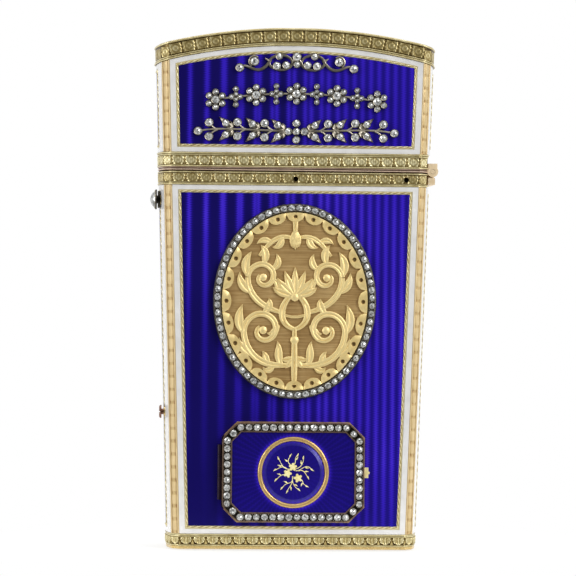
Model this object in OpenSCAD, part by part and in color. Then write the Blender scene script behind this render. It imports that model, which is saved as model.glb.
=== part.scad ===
// Aide memoire case: a flared flat case for ivory writing leaves and a pencil, with a hinged lid,
// a concealed watch behind an octagonal cover, and stone-set silver ornament.
// Millimetres, +Z up, the front faces -Y, the origin is in the middle of the base.

/* [Case] */
// Height of the whole case, to the crown of the lid
case_h = 90.2; // [88:0.1:94]
// Height of the lid, from the joint to the crown
lid_h = 24.9; // [23:0.1:26.5]
// Width across the base, between the outer edges of the canted corners
base_w = 41.7; // [40.5:0.1:45]
// Outward lean of each side, in millimetres per millimetre of height
flare = 0.03; // [0.02:0.002:0.04]
// Depth between the front and the back enamel
case_d = 14; // [13.8:0.1:16]
// Width of the canted corners, seen from the front
cant_w = 1.3; // [1.1:0.1:1.6]
// How far the sides bow out
side_bow = 0.9; // [0.6:0.1:1.2]
// Radius of the arched crown of the lid
crown_r = 96; // [88:1:110]

/* [Walls] */
// Thickness of the gold carcass
wall_t = 0.7; // [0.5:0.05:0.9]
// Thickness of the enamel plates and of the strips let in beside them
skin_t = 0.6; // [0.5:0.05:0.7]
// Thickness of the base plate
base_t = 0.5; // [0.4:0.05:0.8]
// Height of the carcass floor over the base
floor_z = 2.4; // [2:0.1:3]
// Thickness of the crown plate of the lid
crown_t = 0.5; // [0.4:0.05:0.8]
// Thickness of the inner partition and of its shelf
partition_t = 0.5; // [0.4:0.05:0.7]

/* [Borders] */
// Height of the chased border at the base
base_band_h = 2.65; // [2.2:0.05:3]
// Height of the chased border at the top of the body
upper_band_h = 2.4; // [2:0.05:2.8]
// Height of the chased border at the bottom of the lid
lid_band_h = 2.6; // [2.2:0.05:3]
// Height of the arched cornice of the lid
cornice_h = 3.1; // [2.6:0.05:3.5]
// How far the chased borders stand out
band_proud = 0.25; // [0.15:0.05:0.3]
// Width of the white enamel borders
white_w = 0.8; // [0.6:0.05:1]
// Width of the white enamel along the upright edges of the narrow sides
side_white_w = 2.3; // [0.8:0.1:2.6]
// Width of the milled fillets
fillet_w = 0.55; // [0.4:0.05:0.7]
// How far the fillets and pilasters stand out
trim_proud = 0.12; // [0.05:0.01:0.2]

/* [Lid and hinge] */
// Height of the plain rim under the lid
rim_h = 0.6; // [0.5:0.05:0.8]
// Gap between the body and the rim of the closed lid
joint_gap = 0.1; // [0.08:0.01:0.15]
// How far the neck rises into the lid
neck_rise = 3.2; // [2.6:0.1:3.4]
// Gap between the neck and the inside of the lid
neck_gap = 0.35; // [0.32:0.01:0.45]
// Radius of the hinge knuckles
knuckle_r = 0.95; // [0.8:0.05:1.1]
// Length of the hinge
hinge_len = 9.8; // [8:0.1:10.2]
// Radius of the hinge pin
hinge_pin_r = 0.4; // [0.3:0.05:0.5]

/* [Medallion] */
// Height of the oval medallion, as a share of the body's height
oval_share = 0.518; // [0.48:0.002:0.52]
// Width of the medallion over its height
oval_aspect = 0.837; // [0.8:0.005:0.86]
// Height of the medallion's centre, as a share of the body's height
oval_centre = 0.657; // [0.65:0.001:0.66]
// Width of the silver frame of the medallion
oval_frame_w = 1.5; // [1.3:0.05:1.8]
// Stones in the frame of the medallion
oval_stones = 68; // [60:1:70]
// Scallops along the edge of the pierced gold
scallops = 24; // [20:2:26]

/* [Watch] */
// Width of the octagonal cover
cover_w = 24.6; // [23:0.1:26]
// Height of the octagonal cover
cover_h = 17.2; // [16.8:0.1:17.6]
// How far the corners of the cover are cut
cover_cut = 2.6; // [2.2:0.1:3]
// Height of the cover's centre over the base
cover_z = 13.35; // [13.1:0.05:13.6]
// Width of the silver frame of the cover
cover_frame_w = 1.7; // [1.5:0.05:1.9]
// Stones in the upper row of the cover
cover_row = 14; // [12:1:14]
// Stones in the side column of the cover
cover_column = 9; // [8:1:9]
// Outer radius of the gold ring on the cover
ring_r = 6.2; // [5.6:0.1:6.4]
// Radius of the dial
dial_r = 6.4; // [6:0.1:6.6]
// Thickness of the movement
movement_t = 3.9; // [3.4:0.1:3.9]

/* [Stones] */
// Radius of the stones in the two frames
stone_r = 0.55; // [0.45:0.01:0.58]
// Height of those stones
stone_h = 0.55; // [0.4:0.05:0.7]
// Height of the silver work on the lid
silver_t = 0.5; // [0.4:0.05:0.6]

/* [Push-pieces] */
// Drop of the lid's push-piece below the joint
push_drop = 4.9; // [4.8:0.1:5.6]
// Radius of its silver collet
push_r = 1.75; // [1.5:0.05:1.9]
// Travel of the lid's push-piece
push_travel = 0.3; // [0.25:0.05:0.35]
// Height of the small button, as a share of the body's height
button_share = 0.36; // [0.34:0.005:0.4]
// Radius of the small button
button_r = 1.15; // [1:0.05:1.3]
// Travel of the small button
button_travel = 0.35; // [0.2:0.05:0.4]

/* [Contents] */
// Ivory leaves in the packet
leaf_count = 5; // [3:1:5]
// Thickness of one leaf
leaf_t = 0.7; // [0.5:0.05:0.75]
// How far the leaves rise over the body
leaf_rise = 4.1; // [3:0.1:4.5]
// Radius of the pencil
pencil_r = 1.75; // [1.5:0.05:1.8]
// How far the pencil rises over the body
pencil_rise = 6.1; // [5:0.1:6.5]

/* [Hidden] */
$fn = 48;

// Height of the body, to the joint under the lid
body_h = case_h - lid_h;

// Clearance between pieces that are soldered or let in
fit = 0.02;
// Radial clearance of a pin or stem that turns or slides
running = 0.04;

// Plan of the case: flat front and back, canted corners, bowed sides
half_d = case_d / 2;
corner_x = base_w / 2;
front_half = corner_x - cant_w;
chord = half_d - cant_w;
bow_r = (chord * chord + side_bow * side_bow) / (2 * side_bow);
bow_x = corner_x + side_bow - bow_r;
tilt = atan(flare);
bow_steps = 8;
// The pilasters are mitred, so the plates beside them stop short of the corners' edges
seam = skin_t * (sqrt(2) - 1) + fit;
side_half = (bow_r - skin_t) * sin(bow_angle(skin_t)) - fit;

// Heights of the borders
shell_in = skin_t + wall_t;
body_panel_z0 = base_band_h;
body_panel_z1 = body_h - upper_band_h;
rim_z = body_h + joint_gap;
lid_z = rim_z + rim_h;
lid_panel_z0 = lid_z + lid_band_h;
blue_in = white_w + fillet_w;
side_blue_in = side_white_w + fillet_w;

// Medallion
oval_h = oval_share * body_h;
oval_w = oval_aspect * oval_h;
oval_z = oval_centre * body_h;

// Axis of the lid's hinge, along Y
hinge_z = body_h + 0.4;
hinge_x = corner_x + side_bow + flare * hinge_z + 0.28;
hinge_room = knuckle_r + 0.15;
leaf_back = 0.8;
leaf_reach = 1.4;
knuckles = 5;
knuckle_gap = 0.05;

// Push-pieces, on the left side in front of the partition
push_y = -2.6;
push_z = body_h - push_drop;
button_z = button_share * body_h;
push_clear = 0.38;
button_clear = 0.17;
push_stem_r = 0.7;
button_stem_r = 0.5;
tube_wall = 0.35;
spring_x = -(corner_x + flare * push_z - 2.95);
spring_t = 0.3;

// Depth of the layers on the front, as distances in front of the enamel
oval_plate_t = 0.5;
openwork_t = 0.35;
frame_t = 0.95;
channel_t = 0.4;
channel_w = 2 * stone_r + 0.1;

// Watch, as depths along Y
mat_y = -half_d + 0.1;
mat_t = 1.4;
dial_t = 0.4;
glass_t = 0.35;
flange_t = 0.3;
cover_y = -half_d - flange_t - 0.1;
plate_t = 0.35;
cover_frame_t = 0.6;
cover_channel_t = 0.3;
arbor_r = 0.36;
pipe_r = 0.7;
throat_in = 1.2;
throat_wall = 0.5;
cover_knuckle_r = 0.35;
cover_pin_r = 0.16;
cover_hinge_x = -cover_w / 2 - cover_knuckle_r - 0.1;
cover_hinge_y = cover_y - plate_t / 2;
cover_hinge_len = 9.5;
hour_angle = 305;
minute_angle = 60;

// Inside of the tablet pocket
pocket_y = -0.4;
leaf_gap = 0.15;
leaf_pitch = leaf_t + leaf_gap;
pocket_half = corner_x - shell_in - 0.65;
pencil_room = 2 * pencil_r + 3.3;
leaf_left = -pocket_half;
leaf_w = 2 * pocket_half - pencil_room;
pencil_x = pocket_half - 0.7 - pencil_r;
pencil_y = pocket_y + 1.3 + pencil_r;
rest_z = floor_z + fit;
leaf_len = body_h + leaf_rise - rest_z;
pencil_len = body_h + pencil_rise - rest_z;

// Lid ornament, placed and scaled in the window of blue enamel
window_z = lid_panel_z0 + blue_in;
window_h = case_h - cornice_h - blue_in - window_z;
ornament_k = min(window_h / 15.8, base_w / 41.7);
scroll_z = window_z + 0.864 * window_h;
garland_z = window_z + 0.56 * window_h;
spray_z = window_z + 0.146 * window_h;
garland_r = crown_r - cornice_h - 9 * ornament_k;

gold = "goldenrod";
pink_gold = "tan";
silver = "dimgray";
blue = "midnightblue";
stone_colour = "lightgray";

// Plan and loft

function front_x(z) = front_half + flare * z;
function side_x(z) = corner_x + side_bow + flare * z;
function bow_drop(y) = bow_r - sqrt(bow_r * bow_r - y * y);
function bow_angle(i) =
    45 - acos((front_half + half_d - i * sqrt(2) - bow_x) / (sqrt(2) * (bow_r - i)));
function half_plan(i) = concat(
    [[front_half - i * (sqrt(2) - 1), -(half_d - i)]],
    [for (k = [0:bow_steps]) let (a = bow_angle(i) * (2 * k / bow_steps - 1))
        [bow_x + (bow_r - i) * cos(a), (bow_r - i) * sin(a)]],
    [[front_half - i * (sqrt(2) - 1), half_d - i]]);
function ring(i, z) = let (h = half_plan(i)) concat(
    [for (p = h) [p.x + flare * z, p.y, z]],
    [for (k = [len(h) - 1:-1:0]) [-(h[k].x + flare * z), h[k].y, z]]);
function wall_faces(a, b, n) =
    [for (k = [0:n - 1]) [a * n + k, b * n + k, b * n + (k + 1) % n, a * n + (k + 1) % n]];

// Solid block between two heights, set in from the plan
module block(i, z0, z1) {
    n = len(ring(i, z0));
    faces = concat([[for (k = [0:n - 1]) k]], [[for (k = [2 * n - 1:-1:n]) k]], wall_faces(0, 1, n));
    polyhedron(points = concat(ring(i, z0), ring(i, z1)), faces = faces);
}

// Hoop that follows the plan: the profile's points are [inset, height], up the outside first
module hoop(profile) {
    n = len(ring(0, 0));
    m = len(profile);
    points = [for (p = profile) each ring(p[0], p[1])];
    faces = [for (j = [0:m - 1]) each wall_faces(j, (j + 1) % m, n)];
    polyhedron(points = points, faces = faces);
}

// Chased border: two lips and a hollow field between them
module border(z0, z1, proud) {
    lip = 0.35;
    hoop([
        [-proud, z0], [-proud, z0 + lip], [-0.05, z0 + 1.3 * lip], [-0.05, z1 - 1.3 * lip],
        [-proud, z1 - lip], [-proud, z1], [skin_t - fit, z1], [skin_t - fit, z0]
    ]);
}

module four_corners() {
    for (sx = [0, 1], sy = [0, 1]) mirror([sx, 0, 0]) mirror([0, sy, 0]) children();
}

module both_sides() {
    children();
    mirror([1, 0, 0]) children();
}

module slab(z0, z1) {
    translate([-base_w, -case_d, z0]) cube([2 * base_w, 2 * case_d, z1 - z0]);
}

// Space under the arched crown, lowered by drop
module crown(drop) {
    translate([0, 0, case_h - crown_r]) rotate([90, 0, 0])
        cylinder(r = crown_r - drop, h = 3 * case_d, center = true, $fn = 200);
}

// Flat plate on the front, with flared sides
module front_plate(inset, z0, z1, proud = 0, depth = skin_t) {
    translate([0, -half_d + depth, 0]) rotate([90, 0, 0]) linear_extrude(depth + proud)
        polygon([
            [-(front_x(z0) - inset), z0], [front_x(z0) - inset, z0],
            [front_x(z1) - inset, z1], [-(front_x(z1) - inset), z1]
        ]);
}

// The same plate under the crown of the lid
module lid_plate(inset, z0, drop, proud = 0, depth = skin_t) {
    intersection() {
        front_plate(inset, z0, case_h, proud, depth);
        crown(drop);
    }
}

module bow_cylinder(r) {
    translate([bow_x, 0, 0]) rotate([0, tilt, 0]) translate([0, 0, -base_w])
        cylinder(r = r, h = case_h + 2 * base_w, $fn = 160);
}

// Curved plate on the right side
module side_plate(half_y, z0, z1, proud = 0, depth = skin_t) {
    intersection() {
        difference() {
            bow_cylinder(bow_r + proud);
            bow_cylinder(bow_r - depth);
        }
        translate([bow_x + bow_r / 2, -half_y, z0]) cube([bow_r, 2 * half_y, z1 - z0]);
    }
}

module lid_side_plate(half_y, z0, drop, proud = 0, depth = skin_t) {
    intersection() {
        side_plate(half_y, z0, case_h, proud, depth);
        crown(drop);
    }
}

// Plan of one pilaster, from the outer edge of its corner: a canted strip with a flat bead
module pilaster_plan() {
    i = skin_t - fit;
    bead_r = cant_w / 2.6;
    bead_in = (bead_r - trim_proud) / sqrt(2);
    front = [-cant_w, -half_d];
    side = [0, -chord];
    side_in = [bow_x - corner_x + (bow_r - i) * cos(bow_angle(i)), -(bow_r - i) * sin(bow_angle(i))];
    front_in = [-cant_w - i * (sqrt(2) - 1), -(half_d - i)];
    polygon([front, side, side_in, front_in]);
    intersection() {
        translate((front + side) / 2 + bead_in * [-1, 1]) circle(r = bead_r);
        polygon([front + [1, -1], side + [1, -1], side_in, front_in]);
    }
}

module pilaster(z0, z1) {
    intersection() {
        translate([corner_x, 0, 0]) rotate([0, tilt, 0]) translate([0, 0, -base_t])
            linear_extrude(case_h + 2 * base_t) pilaster_plan();
        slab(z0, z1);
    }
}

// Holes for the two guide tubes on the left side
module push_holes() {
    for (p = [[push_z, push_stem_r], [button_z, button_stem_r]])
        translate([-side_x(p[0]), push_y, p[0]]) rotate([0, 90, 0])
            cylinder(r = p[1] + running + tube_wall + fit, h = 8, center = true);
}

// Room for the hinge in the borders, carcasses and rim
module hinge_cut(z0, z1) {
    translate([hinge_x, 0, hinge_z]) rotate([90, 0, 0])
        cylinder(r = hinge_room, h = hinge_len + 0.1, center = true);
    translate([hinge_x - leaf_back - fit, -hinge_len / 2 - 0.05, z0])
        cube([4, hinge_len + 0.1, z1 - z0]);
}

// Relief on the front: a drawing in x and z, raised towards the viewer
module relief(y, t) {
    translate([0, y, 0]) rotate([90, 0, 0]) linear_extrude(t) children();
}

module stone(r, h) {
    rotate([90, 0, 0]) rotate_extrude()
        polygon([[0, 0], [r, 0], [r, 0.3 * h], [0.6 * r, 0.8 * h], [0, h]]);
}

// Lines of the drawings

function ellipse(a, b, n = 72) = [for (k = [0:n - 1]) [a * cos(360 * k / n), b * sin(360 * k / n)]];
function spiral(c, r0, r1, a0, a1, n = 20) =
    [for (k = [0:n]) let (a = a0 + (a1 - a0) * k / n) c + (r0 + (r1 - r0) * k / n) * [cos(a), sin(a)]];
function bezier(p, n = 12) =
    [for (k = [0:n]) let (t = k / n, s = 1 - t)
        s * s * s * p[0] + 3 * s * s * t * p[1] + 3 * s * t * t * p[2] + t * t * t * p[3]];
function tangent(p, k) =
    let (d = p[min(k + 1, len(p) - 1)] - p[max(k - 1, 0)]) d / norm(d);
function stroke_edge(p, w0, w1, swell, s) =
    [for (k = [0:len(p) - 1])
        let (f = k / (len(p) - 1), t = tangent(p, k), w = w0 + (w1 - w0) * f + swell * sin(180 * f))
        p[k] + s * w / 2 * [-t.y, t.x]];
function reversed(p) = [for (k = [len(p) - 1:-1:0]) p[k]];

module stroke(p, w0, w1, swell = 0) {
    polygon(concat(stroke_edge(p, w0, w1, swell, 1), reversed(stroke_edge(p, w0, w1, swell, -1))));
}

module mirrored() {
    children();
    mirror([1, 0]) children();
}

// Softens the corners where lines of a drawing meet
module blended(r) {
    offset(delta = -r) offset(delta = r) children();
}

function octagon(w, h, c) = [
    [-w / 2 + c, -h / 2], [w / 2 - c, -h / 2], [w / 2, -h / 2 + c], [w / 2, h / 2 - c],
    [w / 2 - c, h / 2], [-w / 2 + c, h / 2], [-w / 2, h / 2 - c], [-w / 2, -h / 2 + c]
];

// Octagon of the cover, set in evenly from its edge
module octagon_in(d) {
    polygon(octagon(cover_w - 2 * d, cover_h - 2 * d, cover_cut - d * (2 - sqrt(2))));
}

// Body

module base_plate() {
    color(gold) block(0, 0, base_t - fit);
}

module base_border() {
    color(gold) border(base_t, base_band_h - fit, band_proud / 2);
}

module body_carcass() {
    color(gold) difference() {
        block(skin_t, base_t, body_h);
        block(shell_in, floor_z, body_h + 1);
        translate([0, 0, cover_z]) relief(0, case_d) octagon_in(throat_in - fit);
        push_holes();
        hinge_cut(body_h, body_h + 1);
    }
}

// Wall between the watch and the tablet pocket, with a shelf over the watch and the catch
module partition_plate() {
    z1 = body_h - 3.1;
    half0 = side_x(floor_z) - shell_in - fit - 0.05;
    half1 = side_x(z1) - shell_in - fit - 0.05;
    color(pink_gold) difference() {
        union() {
            relief(pocket_y, partition_t)
                polygon([[-half0, rest_z], [half0, rest_z], [half1, z1], [-half1, z1]]);
            intersection() {
                block(shell_in + fit, z1 - partition_t, z1);
                translate([-base_w, -case_d, 0]) cube([2 * base_w, case_d + pocket_y, case_h]);
            }
        }
        translate([spring_x - 1.2, push_y - 1.3, z1 - 2 * partition_t]) cube([2, 2.6, 2]);
    }
}

module neck_ring() {
    low = shell_in + fit;
    high = shell_in + neck_gap;
    inner = low + 0.85;
    top = body_h + neck_rise;
    color(pink_gold) hoop([
        [low, body_h - 3], [low, body_h], [high, body_h], [high, top - 0.5], [high + 0.2, top],
        [inner, top], [inner, body_h - 3]
    ]);
}

module upper_border() {
    hole_r = 0.27;
    color(gold) difference() {
        border(body_panel_z1, body_h, band_proud);
        hinge_cut(body_panel_z1 + 0.5, body_h + 1);
        for (x = [0, front_half - 0.35]) translate([x, -half_d, body_h - upper_band_h / 2])
            rotate([90, 0, 0]) cylinder(r = hole_r, h = 2 * band_proud + 0.3, center = true);
    }
}

module body_pilasters() {
    color(pink_gold) four_corners() pilaster(body_panel_z0, body_panel_z1 - fit);
}

module body_enamel_panels() {
    z0 = body_panel_z0 + blue_in;
    z1 = body_panel_z1 - blue_in;
    color(blue) {
        difference() {
            front_plate(seam + blue_in, z0, z1);
            translate([0, 0, cover_z]) relief(0, case_d) octagon_in(throat_in - fit);
        }
        mirror([0, 1, 0]) front_plate(seam + blue_in, z0, z1);
        difference() {
            both_sides() side_plate(side_half - side_blue_in, z0, z1);
            push_holes();
        }
    }
}

// Frame of a panel: its outer edge is set in by a, its inner edge by b, counted from the seam;
// the upright edges on the narrow sides are set in by side_a and side_b
module body_frames(a, b, side_a, side_b, proud) {
    z0 = body_panel_z0;
    z1 = body_panel_z1 - fit;
    for (s = [0, 1]) mirror([0, s, 0]) difference() {
        front_plate(seam + a, z0 + a, z1 - a, proud);
        front_plate(seam + b, z0 + b, z1 - b, 1, skin_t + 1);
    }
    difference() {
        both_sides() difference() {
            side_plate(side_half - side_a, z0 + a, z1 - a, proud);
            side_plate(side_half - side_b, z0 + b, z1 - b, 1, skin_t + 1);
        }
        push_holes();
    }
}

module body_white_borders() {
    color("white") body_frames(0, white_w, 0, side_white_w, 0);
}

module body_fillets() {
    color(gold) body_frames(white_w + fit, blue_in - fit, side_white_w + fit, side_blue_in - fit, trim_proud);
}

module oval_outline(d) {
    polygon(ellipse(oval_w / 2 - d, oval_h / 2 - d));
}

module oval_ground() {
    color("darkgoldenrod") translate([0, 0, oval_z])
        relief(-half_d - fit, oval_plate_t) oval_outline(oval_frame_w + fit);
}

// Pierced gold: a scalloped edge, a bellflower, a palmette on a stem and scrolls of leaves
module oval_openwork() {
    a = oval_w / 2 - oval_frame_w - 2 * fit;
    b = oval_h / 2 - oval_frame_w - 2 * fit;
    lobe_r = 1.6;
    color(gold) translate([0, 0, oval_z]) relief(-half_d - oval_plate_t - 2 * fit, openwork_t)
        difference() {
            intersection() {
                polygon(ellipse(a, b));
                union() {
                    difference() {
                        polygon(ellipse(a, b));
                        polygon(ellipse(a - 0.4, b - 0.4));
                    }
                    for (p = ellipse(a - 0.1, b - 0.1, scallops)) translate([p.y * a / b, p.x * b / a])
                        circle(r = lobe_r, $fn = 20);
                    blended(0.12) scale([0.9 * a / 12.6, 0.92 * b / 15.2]) arabesque();
                }
            }
            for (p = ellipse(a - 0.75, b - 0.75, scallops)) translate([p.y * a / b, p.x * b / a])
                circle(r = 0.33, $fn = 10);
        }
}

// A leaf of the pierced gold, from its foot to its tip
module openwork_leaf(p, swell) {
    stroke(bezier(p), 0.45, 0.08, swell);
}

// Leaves spread like a fan from a point
module leaf_fan(centre, turn, spread, count, length, bend, swell) {
    for (k = [-count:count]) translate(centre) rotate(turn + k * spread)
        stroke(bezier([
            [0, 0], [0.1 * k, 0.34 * length], [bend * k, 0.65 * length],
            [bend * k, length * (1 - 0.07 * abs(k))]
        ]), 0.38, 0.1, swell);
}

// Drawing of the pierced gold inside its scallops, for half-axes of 12.6 and 15.2
module arabesque() {
    // Stem that carries a cup and a palmette, with leaves at its foot
    stroke([[0, -15.5], [0, -12.5], [0, -9], [0, -5]], 0.8, 0.7, 0.35);
    leaf_fan([0, 0.8], 0, -21, 3, 5.6, 0.2, 1.05);
    leaf_fan([0, -10.4], 180, -30, 2, 2.8, 0.2, 0.75);
    stroke([[-1.9, -2.6], [-0.6, -2.9], [0.6, -2.9], [1.9, -2.6]], 0.5, 0.5);
    for (z = [-7.2, 0.8]) translate([0, z]) circle(r = 0.8, $fn = 20);
    // Bellflower hanging from the top scallop
    stroke([[0, 15.5], [0, 14], [0, 12.9]], 1, 0.7);
    leaf_fan([0, 13.3], 180, 15, 2, 3.7, 0.3, 0.8);
    mirrored() {
        // Side of the cup
        stroke(bezier([[0, -5.2], [3.4, -4.2], [2.9, -0.6], [0.7, 1.1]]), 0.7, 0.8, 0.35);
        // Lower scroll, growing from the foot of the stem, and its leaves
        stroke(bezier([[0.2, -11.6], [4.4, -12.6], [9.4, -11.2], [9.75, -5.6]]), 0.7, 1, 0.3);
        stroke(spiral([6.05, -5.4], 3.7, 0.85, -4, 405, 40), 1, 0.6, 0.2);
        translate([6.05, -5.4]) circle(r = 0.75, $fn = 20);
        openwork_leaf([[8.2, -10.2], [9, -9.2], [10.4, -9.2], [10.6, -6.8]], 1.2);
        openwork_leaf([[9.7, -6], [10.9, -4.6], [11, -2.6], [10, -0.6]], 1.3);
        openwork_leaf([[4.4, -11.9], [5.8, -11.2], [5.2, -9.9], [6.2, -9.3]], 0.9);
        openwork_leaf([[2.2, -11.9], [3.6, -10.8], [2.6, -9], [3.3, -7.4]], 1.1);
        openwork_leaf([[4, -12], [4.4, -12.9], [5.6, -13.2], [6, -12.2]], 0.8);
        openwork_leaf([[6.1, -2.4], [5, -1.4], [4.6, -0.4], [5, 0.5]], 1.1);
        openwork_leaf([[3, -4.4], [3.6, -5.4], [4.2, -6.4], [5.3, -5.9]], 0.9);
        // Upper scroll, growing from the cup, and its leaves
        stroke(bezier([[1.8, -2.2], [5.2, -1.6], [9, 0.2], [9.05, 4.4]]), 0.6, 0.9, 0.3);
        stroke(spiral([6.1, 4.4], 2.95, 0.75, 2, 390, 36), 0.9, 0.55, 0.2);
        translate([6.1, 4.4]) circle(r = 0.7, $fn = 20);
        openwork_leaf([[8.4, 1.6], [9.6, 2.2], [10.8, 3.4], [10.6, 5.4]], 1.2);
        openwork_leaf([[9, 4.6], [9.9, 6.2], [9.6, 7.6], [8.4, 9.2]], 1.2);
        openwork_leaf([[6.2, 6.7], [5.4, 8.2], [5.6, 9.4], [6.6, 10.4]], 1.1);
        openwork_leaf([[4.7, 6], [3.2, 6.2], [2.9, 7.6], [3.6, 8.8]], 0.9);
        openwork_leaf([[4.3, 4.1], [3.2, 3.6], [2.9, 2.2], [3.9, 1.6]], 0.8);
        // Festoon between the bellflower and the upper scroll
        stroke(bezier([[0.2, 11.6], [2.6, 12.6], [4.6, 11.6], [6.9, 8.4]]), 0.5, 0.5, 0.35);
        openwork_leaf([[2.6, 12], [2.4, 10.8], [3.2, 9.9], [4.4, 10]], 0.9);
        openwork_leaf([[4.6, 11], [5.6, 11.4], [6.4, 11.6], [7.4, 10.6]], 0.8);
    }
}

// Silver frame with a channel for the stones
module oval_frame() {
    mid = oval_frame_w / 2;
    color(silver) translate([0, 0, oval_z]) difference() {
        relief(-half_d - fit, frame_t) difference() {
            oval_outline(0);
            oval_outline(oval_frame_w);
        }
        relief(-half_d - fit - frame_t + channel_t, 1) difference() {
            oval_outline(mid - channel_w / 2);
            oval_outline(mid + channel_w / 2);
        }
    }
}

// Points spaced evenly along an ellipse, found by walking a fine outline
function walked(p) = [for (k = 0, s = 0; k <= len(p); s = s + norm(p[(k + 1) % len(p)] - p[k % len(p)]),
    k = k + 1) s];
function along(p, w, s, k = 0) =
    w[k + 1] < s ? along(p, w, s, k + 1)
        : p[k] + (p[(k + 1) % len(p)] - p[k]) * (s - w[k]) / (w[k + 1] - w[k]);

module oval_diamonds() {
    mid = oval_frame_w / 2;
    path = ellipse(oval_w / 2 - mid, oval_h / 2 - mid, 180);
    walk = walked(path);
    y = -half_d - frame_t + channel_t - 2 * fit;
    color(stone_colour) for (k = [0:oval_stones - 1]) {
        p = along(path, walk, walk[len(path)] * (k + 0.5) / oval_stones);
        translate([p.x, y, oval_z + p.y]) stone(stone_r, stone_h);
    }
}

// Hinge of the lid

function knuckle_y(k) = -hinge_len / 2 + hinge_len * k / knuckles + (k > 0 ? knuckle_gap / 2 : 0);
knuckle_len = hinge_len / knuckles - knuckle_gap;

// Knuckles of one leaf with their arms, drilled for the pin; up is 1 on the lid and -1 on the body
module hinge_knuckles(first, up) {
    difference() {
        translate([hinge_x, 0, hinge_z]) {
            for (k = [first:2:knuckles - 1]) translate([0, knuckle_y(k) + knuckle_len, 0]) {
                rotate([90, 0, 0]) cylinder(r = knuckle_r, h = knuckle_len);
                translate([-leaf_back, -knuckle_len, up > 0 ? 0 : -leaf_reach])
                    cube([leaf_back + (up > 0 ? leaf_back : leaf_back / 2), knuckle_len, leaf_reach]);
            }
            translate([-leaf_back, -hinge_len / 2, up > 0 ? hinge_room : -leaf_reach - 0.9])
                cube([leaf_back + (up > 0 ? leaf_back : leaf_back / 2), hinge_len,
                    leaf_reach - hinge_room + (up > 0 ? 0 : 0.9)]);
        }
        translate([hinge_x, 0, hinge_z]) rotate([90, 0, 0])
            cylinder(r = hinge_pin_r + running, h = 2 * hinge_len, center = true);
    }
}

module body_hinge_leaf() {
    color(pink_gold) hinge_knuckles(1, -1);
}

module lid_hinge_pin() {
    color(gold) translate([hinge_x, 0, hinge_z]) rotate([90, 0, 0])
        cylinder(r = hinge_pin_r, h = hinge_len, center = true);
}

// Catch of the lid: a leaf spring on the body, whose nose holds the hook of the lid's tongue
nose_z = body_h - 1.7;
nose_w = 1.8;
nose_reach = 0.55;
spring_foot_z = 0.735 * push_z;

module catch_spring() {
    wall_x = -(side_x(spring_foot_z) - bow_drop(push_y - nose_w / 2) - shell_in - 0.05);
    color("lightsteelblue") translate([0, push_y - nose_w / 2, 0]) {
        translate([spring_x, 0, spring_foot_z]) cube([spring_t, nose_w, nose_z + 0.6 - spring_foot_z]);
        translate([spring_x - nose_reach, 0, nose_z]) cube([nose_reach + fit, nose_w, 0.6]);
        translate([wall_x, 0, spring_foot_z]) cube([spring_x - wall_x + fit, nose_w, 2]);
    }
}

module catch_tongue() {
    plate_t = 0.45;
    plate_x = spring_x - 0.7;
    hook_z = nose_z - 0.1;
    arm_z = body_h + neck_rise + 0.3;
    wall_x = -(side_x(arm_z) - bow_drop(push_y - nose_w / 2) - shell_in - 0.03);
    color(pink_gold) translate([0, push_y - nose_w / 2, 0]) {
        translate([plate_x - plate_t, 0, hook_z - 0.6]) cube([plate_t, nose_w, arm_z + 1.2 - hook_z + 0.6]);
        translate([plate_x - fit, 0, hook_z - 0.6]) cube([0.45, nose_w, 0.6]);
        translate([wall_x, 0, arm_z]) cube([plate_x - wall_x, nose_w, 1.2]);
    }
}

// Side of the case at a push-piece
function push_face(z) = -(side_x(z) - bow_drop(push_y));

module push_tubes() {
    color(gold) for (p = [[push_z, push_stem_r], [button_z, button_stem_r]])
        translate([push_face(p[0]) - 0.12, push_y, p[0]]) rotate([0, 90, 0]) difference() {
            cylinder(r = p[1] + running + tube_wall, h = 2);
            translate([0, 0, -1]) cylinder(r = p[1] + running, h = 4);
        }
}

module push_piece() {
    stem_len = spring_x - 0.05 - push_face(push_z);
    rear = push_travel + push_clear;
    color(silver) translate([push_face(push_z), push_y, push_z]) rotate([0, 90, 0]) {
        translate([0, 0, -rear - fit]) cylinder(r = push_stem_r, h = rear + fit + stem_len);
        translate([0, 0, -rear - 0.25]) cylinder(r = push_r, h = 0.25);
        translate([0, 0, -rear - 0.65]) difference() {
            cylinder(r1 = push_r - 0.15, r2 = push_r, h = 0.4 + fit);
            translate([0, 0, -1]) cylinder(r = push_r - 0.35, h = 1.4);
        }
    }
}

module push_diamond() {
    r = push_r - 0.37;
    base = push_travel + push_clear + 0.27;
    color(stone_colour) translate([push_face(push_z) - base, push_y, push_z]) rotate([0, -90, 0])
        rotate_extrude() polygon([[0, 0], [r, 0], [r, 0.3], [0.6 * r, 0.66], [0, 0.8]]);
}

module side_button() {
    rear = button_travel + button_clear;
    color(pink_gold) translate([push_face(button_z), push_y, button_z]) rotate([0, 90, 0]) {
        difference() {
            translate([0, 0, -rear - 0.4]) {
                cylinder(r1 = button_r - 0.2, r2 = button_r, h = 0.2);
                translate([0, 0, 0.2 - fit]) cylinder(r = button_r, h = 0.2 + fit);
            }
            translate([-0.1, -2, -rear - 0.5]) cube([0.25, 4, 0.25]);
        }
        translate([0, 0, -rear - fit]) cylinder(r = button_stem_r, h = rear + 3);
    }
}

// Watch

function cover_knuckle_z(k) = cover_z - cover_hinge_len / 2 + cover_hinge_len * k / knuckles;
cover_knuckle_len = cover_hinge_len / knuckles - knuckle_gap;

module cover_knuckles(first, r, h) {
    for (k = [first:2:knuckles - 1])
        translate([cover_hinge_x, cover_hinge_y, cover_knuckle_z(k) + (cover_knuckle_len - h) / 2])
            cylinder(r = r, h = h);
}

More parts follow.
